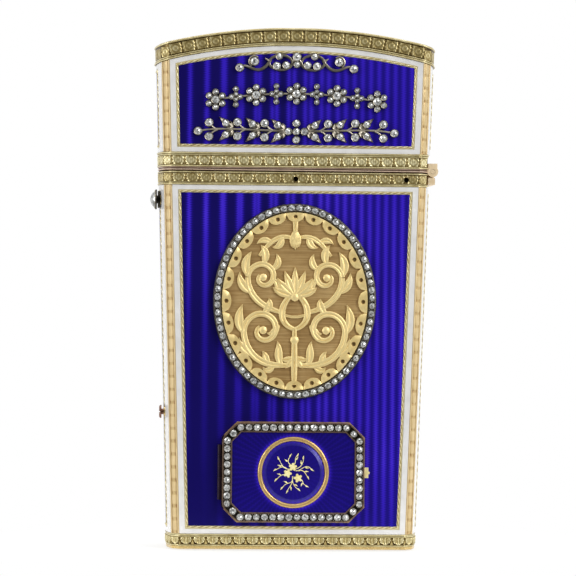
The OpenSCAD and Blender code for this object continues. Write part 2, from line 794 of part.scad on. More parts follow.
module watch_bezel() {
    lip = 0.1;
    strip_x = cover_hinge_x - cover_knuckle_r;
    color(pink_gold) difference() {
        union() {
            translate([0, 0, cover_z]) {
                relief(-half_d - fit, flange_t - fit) difference() {
                    octagon_in(-lip);
                    octagon_in(throat_in + throat_wall);
                }
                relief(-half_d + shell_in, shell_in) difference() {
                    octagon_in(throat_in);
                    octagon_in(throat_in + throat_wall);
                }
                relief(-half_d + fit, 3 * fit) difference() {
                    octagon_in(throat_in);
                    octagon_in(throat_in + throat_wall);
                }
            }
            translate([strip_x, -half_d - flange_t, cover_z - cover_hinge_len / 2])
                cube([1 + cover_knuckle_r, flange_t - fit, cover_hinge_len]);
            cover_knuckles(0, cover_knuckle_r, cover_knuckle_len);
        }
        cover_knuckles(1, cover_knuckle_r + 0.1, cover_knuckle_len + 2 * knuckle_gap);
        translate([cover_hinge_x, cover_hinge_y, cover_z - cover_hinge_len])
            cylinder(r = cover_pin_r + running, h = 2 * cover_hinge_len);
    }
}

module watch_mat() {
    color(gold) difference() {
        translate([0, 0, cover_z]) relief(mat_y + mat_t, mat_t) octagon_in(throat_in + throat_wall + fit);
        watch_disc(mat_y - 1, mat_t + 2, dial_r - 0.4);
        watch_disc(mat_y - fit, glass_t + 0.05, dial_r - 0.2);
    }
}

// Disc on the watch's axis, from depth y on
module watch_disc(y, t, r) {
    translate([0, y + t, cover_z]) rotate([90, 0, 0]) cylinder(r = r, h = t);
}

module watch_glass() {
    color("aliceblue") watch_disc(mat_y + fit, glass_t - fit, dial_r - 0.2 - fit);
}

module watch_dial() {
    color("white") difference() {
        watch_disc(mat_y + mat_t + fit, dial_t, dial_r);
        watch_disc(mat_y + mat_t - 1, dial_t + 2, pipe_r + running);
    }
}

module watch_movement() {
    y = mat_y + mat_t + dial_t + 2 * fit;
    color("khaki") {
        watch_disc(y, 0.7, dial_r + 0.1);
        watch_disc(y + 0.7 - fit, movement_t - 1.4 + 2 * fit, dial_r - 0.3);
        watch_disc(y + movement_t - 0.7, 0.7, dial_r + 0.1);
    }
}

module centre_arbor() {
    y1 = mat_y + mat_t + dial_t;
    color(gold) watch_disc(mat_y + glass_t + 0.08, y1 - mat_y - glass_t - 0.08, arbor_r);
}

// A hand: a pear-shaped blade on a boss, pointing at an angle clockwise from twelve
module hand(len, w, boss_r, angle, y, t) {
    translate([0, 0, cover_z]) relief(y + t, t) blended(0.02) rotate(-angle) {
        circle(r = boss_r, $fn = 24);
        stroke([[0, 0], [0, 0.5 * len], [0, len]], w, 0.12);
        translate([0, 0.62 * len]) circle(r = 0.9 * w, $fn = 16);
    }
}

module minute_hand() {
    y = mat_y + glass_t + 0.16;
    color("navy") difference() {
        hand(dial_r - 1.2, 0.42, arbor_r + 0.3, minute_angle, y, 0.15);
        watch_disc(y - 1, 2, arbor_r + fit);
    }
}

// The hour hand sits on a pipe that turns round the arbor
module hour_hand() {
    y = mat_y + glass_t + 0.46;
    y1 = mat_y + mat_t + dial_t;
    color("navy") difference() {
        union() {
            hand(dial_r - 2.6, 0.5, pipe_r + 0.15, hour_angle, y, 0.15);
            watch_disc(y + 0.05, y1 - y - 0.05, pipe_r);
        }
        watch_disc(y - 1, y1 - y + 2, arbor_r + running);
    }
}

module cover_hinge_pin() {
    color(gold) translate([cover_hinge_x, cover_hinge_y, cover_z - cover_hinge_len / 2])
        cylinder(r = cover_pin_r, h = cover_hinge_len - knuckle_gap);
}

// Cover of the watch

module cover_plate() {
    color(pink_gold) difference() {
        union() {
            translate([0, 0, cover_z]) relief(cover_y, plate_t) octagon_in(0);
            cover_knuckles(1, cover_knuckle_r, cover_knuckle_len);
            for (k = [1:2:knuckles - 1]) translate([cover_hinge_x, cover_y - plate_t, cover_knuckle_z(k)])
                cube([1, plate_t, cover_knuckle_len]);
        }
        translate([cover_hinge_x, cover_hinge_y, cover_z - cover_hinge_len])
            cylinder(r = cover_pin_r + running, h = 2 * cover_hinge_len);
    }
}

module cover_frame() {
    mid = cover_frame_w / 2;
    y = cover_y - plate_t - fit;
    color(silver) translate([0, 0, cover_z]) difference() {
        relief(y, cover_frame_t) difference() {
            octagon_in(0);
            octagon_in(cover_frame_w);
        }
        relief(y - cover_frame_t + cover_channel_t, 1) difference() {
            octagon_in(mid - channel_w / 2);
            octagon_in(mid + channel_w / 2);
        }
    }
}

module cover_diamonds() {
    mid = cover_frame_w / 2;
    p = octagon(cover_w - 2 * mid, cover_h - 2 * mid, cover_cut - mid * (2 - sqrt(2)));
    y = cover_y - plate_t - cover_frame_t + cover_channel_t - 2 * fit;
    counts = [cover_row, 1, cover_column, 1, cover_row, 1, cover_column, 1];
    color(stone_colour) for (side = [0:7], k = [0:counts[side] - 1]) {
        a = p[side];
        b = p[(side + 1) % 8];
        n = counts[side];
        f = n > 1 ? (k + 0.16) / (n - 0.68) : 0.5;
        translate([a.x + (b.x - a.x) * f, y, cover_z + a.y + (b.y - a.y) * f]) stone(stone_r, stone_h);
    }
}

module cover_enamel() {
    color(blue) translate([0, 0, cover_z]) relief(cover_y - plate_t - fit, 0.3) difference() {
        octagon_in(cover_frame_w + fit);
        circle(r = ring_r);
    }
}

module cover_ring() {
    w = 0.8;
    y = cover_y - plate_t - fit;
    color(gold) translate([0, y, cover_z]) rotate([90, 0, 0]) rotate_extrude($fn = 96)
        polygon([
            [ring_r - w, 0], [ring_r - fit, 0], [ring_r - fit, 0.4], [ring_r - 0.25, 0.62],
            [ring_r - w + 0.2, 0.62], [ring_r - w, 0.45]
        ]);
}

module cover_roundel() {
    r = ring_r - 0.8 - fit;
    color(blue) translate([0, cover_y - plate_t - fit, cover_z]) rotate([90, 0, 0])
        rotate_extrude($fn = 96) polygon([[0, 0], [r, 0], [r, 0.25], [r - 0.7, 0.5], [0, 0.5]]);
}

// Gold spray of three flowers on bending stalks
module cover_spray() {
    flowers = [[0, 0.4], [-1.2, 1.6], [1.5, 1.1]];
    color(gold) translate([0, 0, cover_z]) relief(cover_y - plate_t - 0.5 - 2 * fit, 0.08) blended(0.05) {
        for (f = flowers) {
            translate(f) {
                for (k = [0:5]) rotate(60 * k) translate([0.36, 0]) circle(r = 0.28, $fn = 8);
                circle(r = 0.2, $fn = 8);
            }
            stroke(bezier([f, f + [0, -1], [0.1, -1.2], [0, -2.7]]), 0.12, 0.16);
        }
        for (k = [0:6]) translate([0.5 * (k % 2 == 0 ? 1 : -1) * (1 + k / 4), -1.9 + 0.42 * k])
            rotate(k % 2 == 0 ? -50 : 50)
                stroke([[0, -0.6], [0, 0], [0, 0.55]], 0.08, 0.06, 0.3);
        for (s = [-1, 1])
            stroke(bezier([[0, -1.7], [0.8 * s, -1.4], [1.2 * s, -0.8], [2.1 * s, -0.3]]), 0.12, 0.08);
    }
}

module thumb_piece() {
    color(gold) translate([cover_w / 2 + fit, cover_y - plate_t - 0.1, cover_z - 0.9]) {
        cube([0.7, plate_t + 0.1, 1.8]);
        translate([0.7 - fit, 0, 0.9]) rotate([-90, 0, 0]) cylinder(r = 0.25, h = plate_t + 0.1);
    }
}

// Lid

module lid_carcass() {
    color(gold) difference() {
        intersection() {
            block(skin_t, lid_z, case_h + 1);
            crown(crown_t);
        }
        intersection() {
            block(shell_in, lid_z - 1, case_h + 1);
            crown(crown_t + wall_t);
        }
        hinge_cut(lid_z - 1, lid_z - 0.5);
    }
}

module lid_rim() {
    color(pink_gold) difference() {
        hoop([[-0.05, rim_z], [-0.15, rim_z + rim_h / 2], [-0.05, lid_z - fit], [shell_in, lid_z - fit],
            [shell_in, rim_z]]);
        hinge_cut(rim_z - 0.5, lid_z + 0.5);
    }
}

module lid_lower_border() {
    color(gold) difference() {
        border(lid_z, lid_panel_z0 - fit, band_proud);
        hinge_cut(lid_z - 0.5, hinge_z + leaf_reach + fit);
    }
}

// One moulding of the cornice, between two arcs under the crown
module cornice_course(proud, depth, top, bottom) {
    intersection() {
        hoop([[-proud, lid_panel_z0], [-proud, case_h + 1], [depth, case_h + 1], [depth, lid_panel_z0]]);
        difference() {
            crown(top);
            crown(bottom);
        }
    }
}

module lid_cornice() {
    lip = 0.45;
    color(gold) {
        cornice_course(0.05, skin_t - fit, 0.02, cornice_h - 2 * fit);
        cornice_course(band_proud, skin_t / 2, 0, lip);
        cornice_course(band_proud, skin_t / 2, cornice_h - lip, cornice_h - fit);
    }
}

module lid_crown_plate() {
    color(gold) intersection() {
        block(skin_t + fit, lid_panel_z0, case_h + 1);
        difference() {
            crown(0.05);
            crown(crown_t - fit);
        }
    }
}

module lid_pilasters() {
    color(pink_gold) four_corners() intersection() {
        pilaster(lid_panel_z0, case_h);
        crown(cornice_h + fit);
    }
}

module lid_enamel_panels() {
    z0 = lid_panel_z0 + blue_in;
    drop = cornice_h + blue_in;
    color(blue) {
        for (s = [0, 1]) mirror([0, s, 0]) lid_plate(seam + blue_in, z0, drop);
        both_sides() lid_side_plate(side_half - side_blue_in, z0, drop);
    }
}

module lid_frames(a, b, side_a, side_b, proud) {
    z0 = lid_panel_z0;
    d = cornice_h + fit;
    for (s = [0, 1]) mirror([0, s, 0]) difference() {
        lid_plate(seam + a, z0 + a, d + a, proud);
        lid_plate(seam + b, z0 + b, d + b, 1, skin_t + 1);
    }
    both_sides() difference() {
        lid_side_plate(side_half - side_a, z0 + a, d + a, proud);
        lid_side_plate(side_half - side_b, z0 + b, d + b, 1, skin_t + 1);
    }
}

module lid_white_borders() {
    color("white") lid_frames(0, white_w, 0, side_white_w, 0);
}

module lid_fillets() {
    color(gold) lid_frames(white_w + fit, blue_in - fit, side_white_w + fit, side_blue_in - fit, trim_proud);
}

module lid_hinge_leaf() {
    color(pink_gold) hinge_knuckles(0, 1);
}

// Silver ornament of the lid: places of the stones, as [x, z, radius]

scroll_half = [[1.75, -0.05, 0.5], [3.4, -0.15, 0.5], [3.1, 1.5, 0.55], [7.35, 0.6, 0.5],
    [9.9, -0.4, 0.45]];
scroll_stones = ornament_k * concat([[0, 1.5, 0.55], [0, 0.25, 0.5]],
    [for (p = scroll_half, s = [-1, 1]) [s * p[0], p[1], p[2]]]);

// Stones of a rosette and of a lozenge, around their own centres
rosette = concat([[0, 0, 0.72]], [for (k = [0:5]) [1.32 * cos(60 * k + 30), 1.32 * sin(60 * k + 30), 0.5]]);
lozenge = [[0, 1.35, 0.42], [0, -1.35, 0.42], [0.75, 0, 0.42], [-0.75, 0, 0.42], [0, 0.45, 0.36],
    [0, -0.45, 0.36]];
garland_pitch = 3.5 * ornament_k;
function garland_x(k) = k * garland_pitch;
function garland_dz(x) = sqrt(garland_r * garland_r - x * x) - garland_r;
garland_stones = [for (k = [-4:4], p = (k % 2 == 0 ? rosette : lozenge))
    [garland_x(k), garland_dz(garland_x(k)), 0] + ornament_k * p];

// Spray: pairs of stones along two stems, from a flower of five stones
spray_x = ornament_k * [3.24, 5.67, 7.76, 10.3, 12.4, 15.2];
spray_rise = 1.3 * ornament_k;
spray_end = 17.1 * ornament_k;
spray_stones = concat(
    ornament_k * [[0, 0, 0.62], [0, 1.4, 0.6], [0, -1.4, 0.6], [1.4, 0, 0.6], [-1.4, 0, 0.6]],
    [for (x = spray_x, s = [-1, 1], u = [-1, 1]) [s * x, u * spray_rise, 0.52 * ornament_k]],
    [for (s = [-1, 1]) [s * spray_end, -0.2 * ornament_k, 0.5 * ornament_k]]);

module collets(stones, rim) {
    for (p = stones) translate([p[0], p[1]]) circle(r = p[2] + rim * ornament_k, $fn = 12);
}

module lid_scroll() {
    color(silver) translate([0, 0, scroll_z]) relief(-half_d - fit, silver_t) blended(0.06) {
        collets(scroll_stones, 0.14);
        scale(ornament_k) mirrored() {
            stroke(bezier([[0, 0.25], [1.2, 1.4], [2.4, 1.5], [3.1, 1.5]]), 0.35, 0.3);
            stroke(bezier([[3.1, 1.5], [5.4, 1.5], [4.6, -1], [6.6, -0.75]]), 0.35, 0.3);
            stroke(spiral([7.3, 0.4], 1.25, 0.5, 235, 500, 18), 0.3, 0.3);
            stroke([[0, 0.25], [0.9, 0.2], [1.75, -0.05]], 0.3, 0.3);
            stroke(spiral([2.6, -0.1], 0.85, 0.8, 180, 380, 14), 0.28, 0.28);
            stroke(bezier([[7, -0.7], [8.2, -0.6], [8.9, -0.1], [9.9, -0.4]]), 0.3, 0.3);
        }
    }
}

module lid_garland() {
    span = garland_x(4);
    color(silver) translate([0, 0, garland_z]) relief(-half_d - fit, silver_t) blended(0.06) {
        collets(garland_stones, 0.12);
        stroke([for (k = [-16:16]) let (x = span * k / 16) [x, garland_dz(x)]], 0.4, 0.4);
    }
}

module lid_spray() {
    stem = ornament_k * 0.1;
    color(silver) translate([0, 0, spray_z]) relief(-half_d - fit, silver_t) blended(0.06) {
        collets(spray_stones, 0.13);
        mirrored() {
            stroke([[0, 0], [spray_x[1], stem], [spray_x[4], -stem], [spray_end, -2 * stem]], 0.45, 0.3);
            for (x = spray_x, u = [-1, 1]) translate([x, 0]) scale(ornament_k)
                stroke([[-1.2, 0], [-0.3, 0.7 * u], [0.9, 2.05 * u]], 0.3, 0.1, leafy(x));
        }
    }
}

// Every other pair of the spray is a leaf, the rest are stalks
function leafy(x) = search([x], spray_x)[0] % 2 == 0 ? 0.9 : 0.25;

module set_stones(stones, z) {
    y = -half_d - silver_t - 2 * fit;
    color(stone_colour) for (p = stones) translate([p[0], y, z + p[1]]) stone(p[2], 0.8 * stone_h);
}

module scroll_diamonds() {
    set_stones(scroll_stones, scroll_z);
}

module garland_diamonds() {
    set_stones(garland_stones, garland_z);
}

module spray_diamonds() {
    set_stones(spray_stones, spray_z);
}

// Contents

function leaf_y(k) = pocket_y + 0.5 + k * leaf_pitch;
rivet_r = 0.8;
rivet_z = rest_z + 3.5;
leaf_mid = leaf_left + leaf_w / 2;

module ivory_leaves() {
    top = rest_z + leaf_len;
    round_r = 2.5;
    grow = flare * leaf_len;
    color("ivory") for (k = [0:leaf_count - 1]) relief(leaf_y(k) + leaf_t, leaf_t) difference() {
        polygon(concat(
            [[leaf_left + 1, rest_z], [leaf_left + leaf_w - 1, rest_z], [leaf_left + leaf_w, rest_z + 1]],
            spiral([leaf_left + leaf_w - round_r, top - round_r], round_r, round_r, 0, 90, 8),
            spiral([leaf_left - grow + round_r, top - round_r], round_r, round_r, 90, 180, 8),
            [[leaf_left, rest_z + 1]]));
        translate([leaf_mid, rivet_z]) circle(r = rivet_r + running);
    }
}

module leaf_rivet() {
    y0 = leaf_y(0);
    y1 = leaf_y(leaf_count - 1) + leaf_t;
    color(gold) translate([leaf_mid, 0, rivet_z]) rotate([-90, 0, 0]) {
        translate([0, 0, y0 - 0.3]) cylinder(r = rivet_r, h = y1 - y0 + 0.6);
        translate([0, 0, y0 - 0.3]) cylinder(r = rivet_r + 0.5, h = 0.25);
        translate([0, 0, y1 + 0.05]) cylinder(r = rivet_r + 0.5, h = 0.25);
    }
}

point_len = 5;
finial_len = 4;

module pencil_barrel() {
    color(pink_gold) translate([pencil_x, pencil_y, rest_z + point_len]) {
        difference() {
            cylinder(r = pencil_r, h = pencil_len - point_len - finial_len);
            translate([0, 0, -1]) cylinder(r = 0.6, h = 13);
        }
    }
}

module pencil_lead() {
    color("dimgray") translate([pencil_x, pencil_y, rest_z]) {
        cylinder(r1 = 0.15, r2 = 0.6 - fit, h = point_len);
        translate([0, 0, point_len - fit]) cylinder(r = 0.6 - fit, h = 10);
    }
}

module pencil_finial() {
    color(gold) translate([pencil_x, pencil_y, rest_z + pencil_len - finial_len + fit]) {
        cylinder(r = pencil_r, h = 0.6);
        translate([0, 0, 0.6 - fit]) cylinder(r1 = 0.7 * pencil_r, r2 = 0.5 * pencil_r, h = 1.2);
        translate([0, 0, finial_len - 1.35]) sphere(r = 1.3);
    }
}

base_plate();
base_border();
body_carcass();
partition_plate();
neck_ring();
upper_border();
body_pilasters();
body_enamel_panels();
body_white_borders();
body_fillets();
oval_ground();
oval_openwork();
oval_frame();
oval_diamonds();
body_hinge_leaf();
lid_hinge_pin();
catch_spring();
push_tubes();
watch_bezel();
watch_mat();
watch_glass();
watch_dial();
watch_movement();
cover_hinge_pin();
lid_carcass();
lid_rim();
lid_lower_border();
lid_cornice();
lid_crown_plate();
lid_pilasters();
lid_enamel_panels();
lid_white_borders();
lid_fillets();
lid_hinge_leaf();
catch_tongue();
lid_scroll();
lid_garland();
lid_spray();
scroll_diamonds();
garland_diamonds();
spray_diamonds();
push_piece();
push_diamond();
side_button();
cover_plate();
cover_frame();
cover_diamonds();
cover_enamel();
cover_ring();
cover_roundel();
cover_spray();
thumb_piece();
centre_arbor();
minute_hand();
hour_hand();
ivory_leaves();
leaf_rivet();
pencil_barrel();
pencil_lead();
pencil_finial();
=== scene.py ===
import random
from math import (acos, asin, atan2, copysign, cos, degrees, dist, exp, hypot, pi, radians,
                  sin, sqrt, tau)

import bmesh
import bpy
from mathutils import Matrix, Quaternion, Vector


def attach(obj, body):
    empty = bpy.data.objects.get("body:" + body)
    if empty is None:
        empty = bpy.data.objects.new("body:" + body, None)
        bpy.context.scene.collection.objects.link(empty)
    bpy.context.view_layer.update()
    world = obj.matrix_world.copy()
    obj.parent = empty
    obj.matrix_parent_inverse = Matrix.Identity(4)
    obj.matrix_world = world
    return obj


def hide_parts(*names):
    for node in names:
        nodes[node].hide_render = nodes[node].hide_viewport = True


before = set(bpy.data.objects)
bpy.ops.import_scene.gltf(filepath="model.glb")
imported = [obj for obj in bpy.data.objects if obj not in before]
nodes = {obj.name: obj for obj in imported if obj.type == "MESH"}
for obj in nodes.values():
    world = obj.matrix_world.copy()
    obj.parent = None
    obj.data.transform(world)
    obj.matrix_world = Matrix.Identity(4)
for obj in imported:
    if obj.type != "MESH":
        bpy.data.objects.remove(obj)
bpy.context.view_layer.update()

# Sizes of the case in millimetres, as in the part's source. CORNER is half the width at the
# canted corners of the base, FLARE what a side widens by for each millimetre of height, and BOW
# how far a side bows out between its corners.
CASE_H, BODY_H = 90.2, 65.3
CORNER, FLARE, HALF_D, CANT, BOW = 20.85, 0.03, 7.0, 1.3, 0.9
CROWN_R, SKIN = 96.0, 0.6
BASE_BAND, UPPER_BAND, CORNICE = 2.65, 2.4, 3.1
LID_Z, LID_PANEL_Z = 66.0, 68.6
WHITE_W, SIDE_WHITE_W, FILLET_W = 0.8, 2.3, 0.55
OVAL_A, OVAL_B, OVAL_Z = 0.837 * 0.518 * BODY_H / 2, 0.518 * BODY_H / 2, 0.657 * BODY_H
OVAL_W, OVAL_PLATE_T, OPENWORK_T = 1.5, 0.5, 0.35
COVER_W, COVER_H, COVER_CUT, COVER_Z, COVER_FRAME = 24.6, 17.2, 2.6, 13.35, 1.7
PLATE_T, ROUNDEL_T, RING_R = 0.35, 0.5, 6.2
MAT_Y, MAT_T = -HALF_D + 0.1, 1.4
PUSH_Y, PUSH_Z = -2.6, BODY_H - 4.9
FIT = 0.02

# What follows from them
ROOT2 = sqrt(2)
FRONT = CORNER - CANT
CHORD = HALF_D - CANT
BOW_R = (CHORD ** 2 + BOW ** 2) / (2 * BOW)
BOW_X = CORNER + BOW - BOW_R
SEAM = SKIN * (ROOT2 - 1) + FIT
UPPER_Z = BODY_H - UPPER_BAND
COVER_Y = -HALF_D - 0.4
WINDOW_Z = LID_PANEL_Z + WHITE_W + FILLET_W
WINDOW_H = CASE_H - CORNICE - WHITE_W - FILLET_W - WINDOW_Z
SCROLL_Z = WINDOW_Z + 0.864 * WINDOW_H
GARLAND_Z = WINDOW_Z + 0.56 * WINDOW_H
SPRAY_Z = WINDOW_Z + 0.146 * WINDOW_H
GARLAND_R = CROWN_R - CORNICE - 9.0

# Heights near the ends of the arch, at which the cornice and the panels take their width
SHOULDER_Z, SIDE_SHOULDER_Z = CASE_H - 3, CASE_H - 4
PANEL_SHOULDER_Z, PANEL_SIDE_Z = CASE_H - 6, CASE_H - 7

MM = 0.001
RNG = random.Random(7)
SIGNS = (1, -1)
CORNERS = [(sx, sy) for sx in SIGNS for sy in SIGNS]
FRONTWARD = (0, -1, 0)
EASE = 0.4
SIDE_STEPS = 14


def bow_angle(i):
    """Half angle of the bowed side at an inset, where it meets the canted corner."""
    c = (FRONT + HALF_D - i * ROOT2 - BOW_X) / (ROOT2 * (BOW_R - i))
    return pi / 4 - acos(c)


def half_plan(i, steps):
    """Right half of the plan outline at an inset, from front to back."""
    a = bow_angle(i)
    x = FRONT - i * (ROOT2 - 1)
    arc = [a * (2 * k / steps - 1) for k in range(steps + 1)]
    side = [(BOW_X + (BOW_R - i) * cos(t), (BOW_R - i) * sin(t)) for t in arc]
    return [(x, -(HALF_D - i))] + side + [(x, HALF_D - i)]


def plan_ring(i, cuts):
    """Closed plan outline at an inset; cuts divides the front and back, eased at the corners."""
    right = half_plan(i, SIDE_STEPS)
    left = [(-x, y) for x, y in reversed(right)]
    x0, y1 = right[-1]
    flat = [x0 - EASE] + [x0 - 2 * x0 * k / cuts for k in range(1, cuts)] + [EASE - x0]
    return right + [(x, y1) for x in flat] + left + [(x, -y1) for x in reversed(flat)]


def flared(p, z):
    return (p[0] + copysign(FLARE * z, p[0]), p[1], z)


def front_x(z):
    return FRONT + FLARE * z


def side_x(z):
    return CORNER + BOW + FLARE * z


def bow_drop(y):
    return BOW_R - sqrt(BOW_R ** 2 - y * y)


def arch_z(x, drop):
    return CASE_H - CROWN_R + sqrt((CROWN_R - drop) ** 2 - x * x)


def angles(n):
    """The turn of each of n even steps round a circle."""
    return [tau * k / n for k in range(n)]


class Shape:
    """Vertices in millimetres, faces, and a tone from 0 in the hollows to 1 on the crests; the
    materials that follow the tone paint shade into the hollows and a highlight onto the crests.
    """

    def __init__(self):
        self.verts, self.faces, self.tones = [], [], []

    def add(self, verts, faces, tones=1.0):
        n = len(self.verts)
        self.verts += [tuple(v) for v in verts]
        self.faces += [tuple(n + k for k in f) for f in faces]
        self.tones += tones if isinstance(tones, list) else [tones] * len(verts)

    def grid(self, rows, tones=None, closed_rows=False, closed_cols=False, caps=0):
        """Faces between rows of points of one length, with a tone for each row or each point.
        Caps of 1 or -1 close the first and the last row."""
        m, n = len(rows), len(rows[0])
        faces = []
        for j in range(m if closed_rows else m - 1):
            for k in range(n if closed_cols else n - 1):
                near, far, after = j * n, (j + 1) % m * n, (k + 1) % n
                faces.append((near + k, near + after, far + after, far + k))
        if caps:
            faces += [tuple(range(n))[::caps], tuple(range((m - 1) * n, m * n))[::-caps]]
        flat = []
        for t in tones or [1.0] * m:
            flat += t if isinstance(t, list) else [t] * n
        self.add([p for r in rows for p in r], faces, flat)

    def build(self, name, body, mat, slot, hides, angle):
        """Makes the piece on its body, in place of the CAD nodes that it hides; edges sharper
        than the angle stay sharp."""
        mesh = bpy.data.meshes.new(name)
        mesh.from_pydata([(x * MM, y * MM, z * MM) for x, y, z in self.verts], [], self.faces)
        tone = mesh.attributes.new("tone", "FLOAT", "POINT")
        tone.data.foreach_set("value", self.tones)
        mesh.polygons.foreach_set("use_smooth", [True] * len(mesh.polygons))
        mesh.set_sharp_from_angle(angle=radians(angle))
        mesh.validate()
        mesh.materials.append(mat)
        o = bpy.data.objects.new(name, mesh)
        bpy.context.scene.collection.objects.link(o)
        bm = bmesh.new()
        bm.from_mesh(mesh)
        bmesh.ops.recalc_face_normals(bm, faces=bm.faces)
        bm.to_mesh(mesh)
        bm.free()
        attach(o, body)
        if hides:
            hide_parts(*hides)


def bezier(p, n=12):
    out = []
    for k in range(n + 1):
        t = k / n
        s = 1 - t
        out.append(tuple(s ** 3 * p[0][c] + 3 * s * s * t * p[1][c] + 3 * s * t * t * p[2][c]
                         + t ** 3 * p[3][c] for c in (0, 1)))
    return out


def spiral(c, r0, r1, a0, a1, n):
    out = []
    for k in range(n + 1):
        a = radians(a0 + (a1 - a0) * k / n)
        r = r0 + (r1 - r0) * k / n
        out.append((c[0] + r * cos(a), c[1] + r * sin(a)))
    return out


def mirror_x(p):
    return [(-x, y) for x, y in p]


def turned(p, deg, at=(0, 0)):
    c, s = cos(radians(deg)), sin(radians(deg))
    return [(at[0] + x * c - y * s, at[1] + x * s + y * c) for x, y in p]


# Sections of a ribbon: points [across, up] for a width of 2 and a height of 1
RIB = [(-1, 0), (-1, 0.35), (-0.78, 0.78), (-0.35, 1.0), (0, 0.86), (0.35, 1.0), (0.78, 0.78),
       (1, 0.35), (1, 0)]
FLAT = [(-1, 0), (-1, 0.82), (-0.86, 1.0), (-0.16, 1.0), (0, 0.7), (0.16, 1.0), (0.86, 1.0),
        (1, 0.82), (1, 0)]
WIRE = [(-1, 0), (-1, 0.4), (-0.7, 0.85), (0, 1.0), (0.7, 0.85), (1, 0.4), (1, 0)]


def ribbon(shape, pts, w0, w1, swell, y0, height, section, z0):
    """Raised ribbon on the front along a drawn line in x and z."""
    m = len(pts) - 1
    rows = []
    for k, (x, z) in enumerate(pts):
        a, b = pts[max(k - 1, 0)], pts[min(k + 1, m)]
        dx, dz = b[0] - a[0], b[1] - a[1]
        d = hypot(dx, dz) or 1.0
        f = k / m
        w = w0 + (w1 - w0) * f + swell * sin(pi * f)
        rows.append([(x - dz / d * s * w / 2, y0 - t * height, z0 + z + dx / d * s * w / 2)
                     for s, t in section])
    # The tones paint a highlight on the top of the ribbon and shade at its foot.
    tones = [0.25 + 0.75 * t for s, t in section]
    shape.grid(rows, [tones] * (m + 1), closed_cols=True, caps=1)


def basis(axis):
    """A level direction as a unit vector, and two more across it."""
    n = Vector(axis).normalized()
    u = n.cross(Vector((0, 0, 1))).normalized()
    return n, u, n.cross(u)


def round_point(c, axes, r, a, up):
    """Point at a radius, an angle and a height over a centre."""
    n, u, v = axes
    return Vector(c) + u * (r * cos(a)) + v * (r * sin(a)) + n * up


def rose_cut(shape, c, r, h, seat):
    """Faceted dome to the front: six facets round the point, eighteen below, and a girdle."""
    turn = RNG.uniform(0, tau)
    axes = basis(FRONTWARD)

    def at(rad, ang, up):
        return round_point(c, axes, rad, ang, up)

    top = at(0, 0, h)
    mid = [at(0.56 * r, turn + radians(60 * k), 0.78 * h) for k in range(6)]
    rim = [at(r, turn + radians(30 * k - 15), 0.32 * h) for k in range(12)]
    foot = [at(0.9 * r, turn + radians(30 * k - 15), -seat) for k in range(12)]
    tris = []
    for k in range(6):
        a, b = mid[k], mid[(k + 1) % 6]
        low, peak, high = rim[2 * k], rim[2 * k + 1], rim[(2 * k + 2) % 12]
        tris += [(top, a, b), (a, low, peak), (a, peak, b), (b, peak, high)]
    for k in range(12):
        after = (k + 1) % 12
        tris += [(rim[k], foot[k], foot[after]), (rim[k], foot[after], rim[after])]
    # Each facet takes a random tone, which the stone's material paints as a glint or a dark facet.
    for t in tris:
        shape.add(t, [(0, 1, 2)], RNG.uniform(0, 1))


def collet(shape, c, r, h, wall, flare):
    """Cup to the front that holds a stone: a tapered wall with a turned-over edge."""
    axes = basis(FRONTWARD)
    # The tones paint a highlight on the turned-over edge and shade inside the cup and at its foot.
    profile = [(r + wall + flare, 0.0, 0.2), (r + wall, 0.7 * h, 0.55),
               (r + 0.6 * wall, h, 0.95), (r, 0.95 * h, 0.8), (0.96 * r, 0.5 * h, 0.1)]
    rows = [[round_point(c, axes, q, a, up) for a in angles(18)] for q, up, _ in profile]
    shape.grid(rows, [t for _, _, t in profile], closed_cols=True)


def bead(shape, c, r, squash, axis=FRONTWARD):
    """Small round grain."""
    n, u, v = basis(axis)
    rows = []
    for p in (pi * j / 5 for j in range(1, 5)):
        rows.append([tuple(Vector(c) + (u * cos(a) + v * sin(a)) * (r * sin(p))
                           + n * (r * squash * cos(p))) for a in angles(8)])
    # The tones paint a highlight on the top of the grain and shade at its foot.
    shape.grid(rows, [1.0, 0.9, 0.5, 0.2], closed_cols=True, caps=-1)


def lin(rgb):
    """Linear colour from an sRGB colour of 0 to 255."""
    flat = [v / 255 for v in rgb]
    return tuple(c / 12.92 if c <= 0.04045 else ((c + 0.055) / 1.055) ** 2.4
                 for c in flat) + (1.0,)


class Val:
    """A value in a node tree; arithmetic with it makes math nodes."""

    def __init__(self, tree, out):
        self.tree, self.out = tree, out

    def __add__(self, other):
        return self.tree.math("ADD", self, other)

    def __sub__(self, other):
        return self.tree.math("SUBTRACT", self, other)

    def __rsub__(self, other):
        return self.tree.math("SUBTRACT", other, self)

    def __mul__(self, other):
        return self.tree.math("MULTIPLY", self, other)

    def __pow__(self, other):
        return self.tree.math("POWER", self, other)

    def clamp(self):
        self.out.node.use_clamp = True
        return self


class Nodes:
    """A node tree with short ways to make nodes."""

    def __init__(self, nt):
        self.nt = nt

    def link(self, a, b):
        self.nt.links.new(a.out if isinstance(a, Val) else a, b)

    def node(self, kind, inputs=None, **settings):
        """A new node; a value or a socket feeds an input, and anything else is its constant."""
        n = self.nt.nodes.new(kind)
        for k, v in settings.items():
            setattr(n, k, v)
        for k, v in (inputs or {}).items():
            if isinstance(v, (Val, bpy.types.NodeSocket)):
                self.link(v, n.inputs[k])
            else:
                n.inputs[k].default_value = v
        return n

    def math(self, kind, *values):
        n = self.node("ShaderNodeMath", dict(enumerate(values)), operation=kind)
        return Val(self, n.outputs[0])

    def split(self, vector):
        n = self.node("ShaderNodeSeparateXYZ", {0: vector})
        return [Val(self, out) for out in n.outputs]


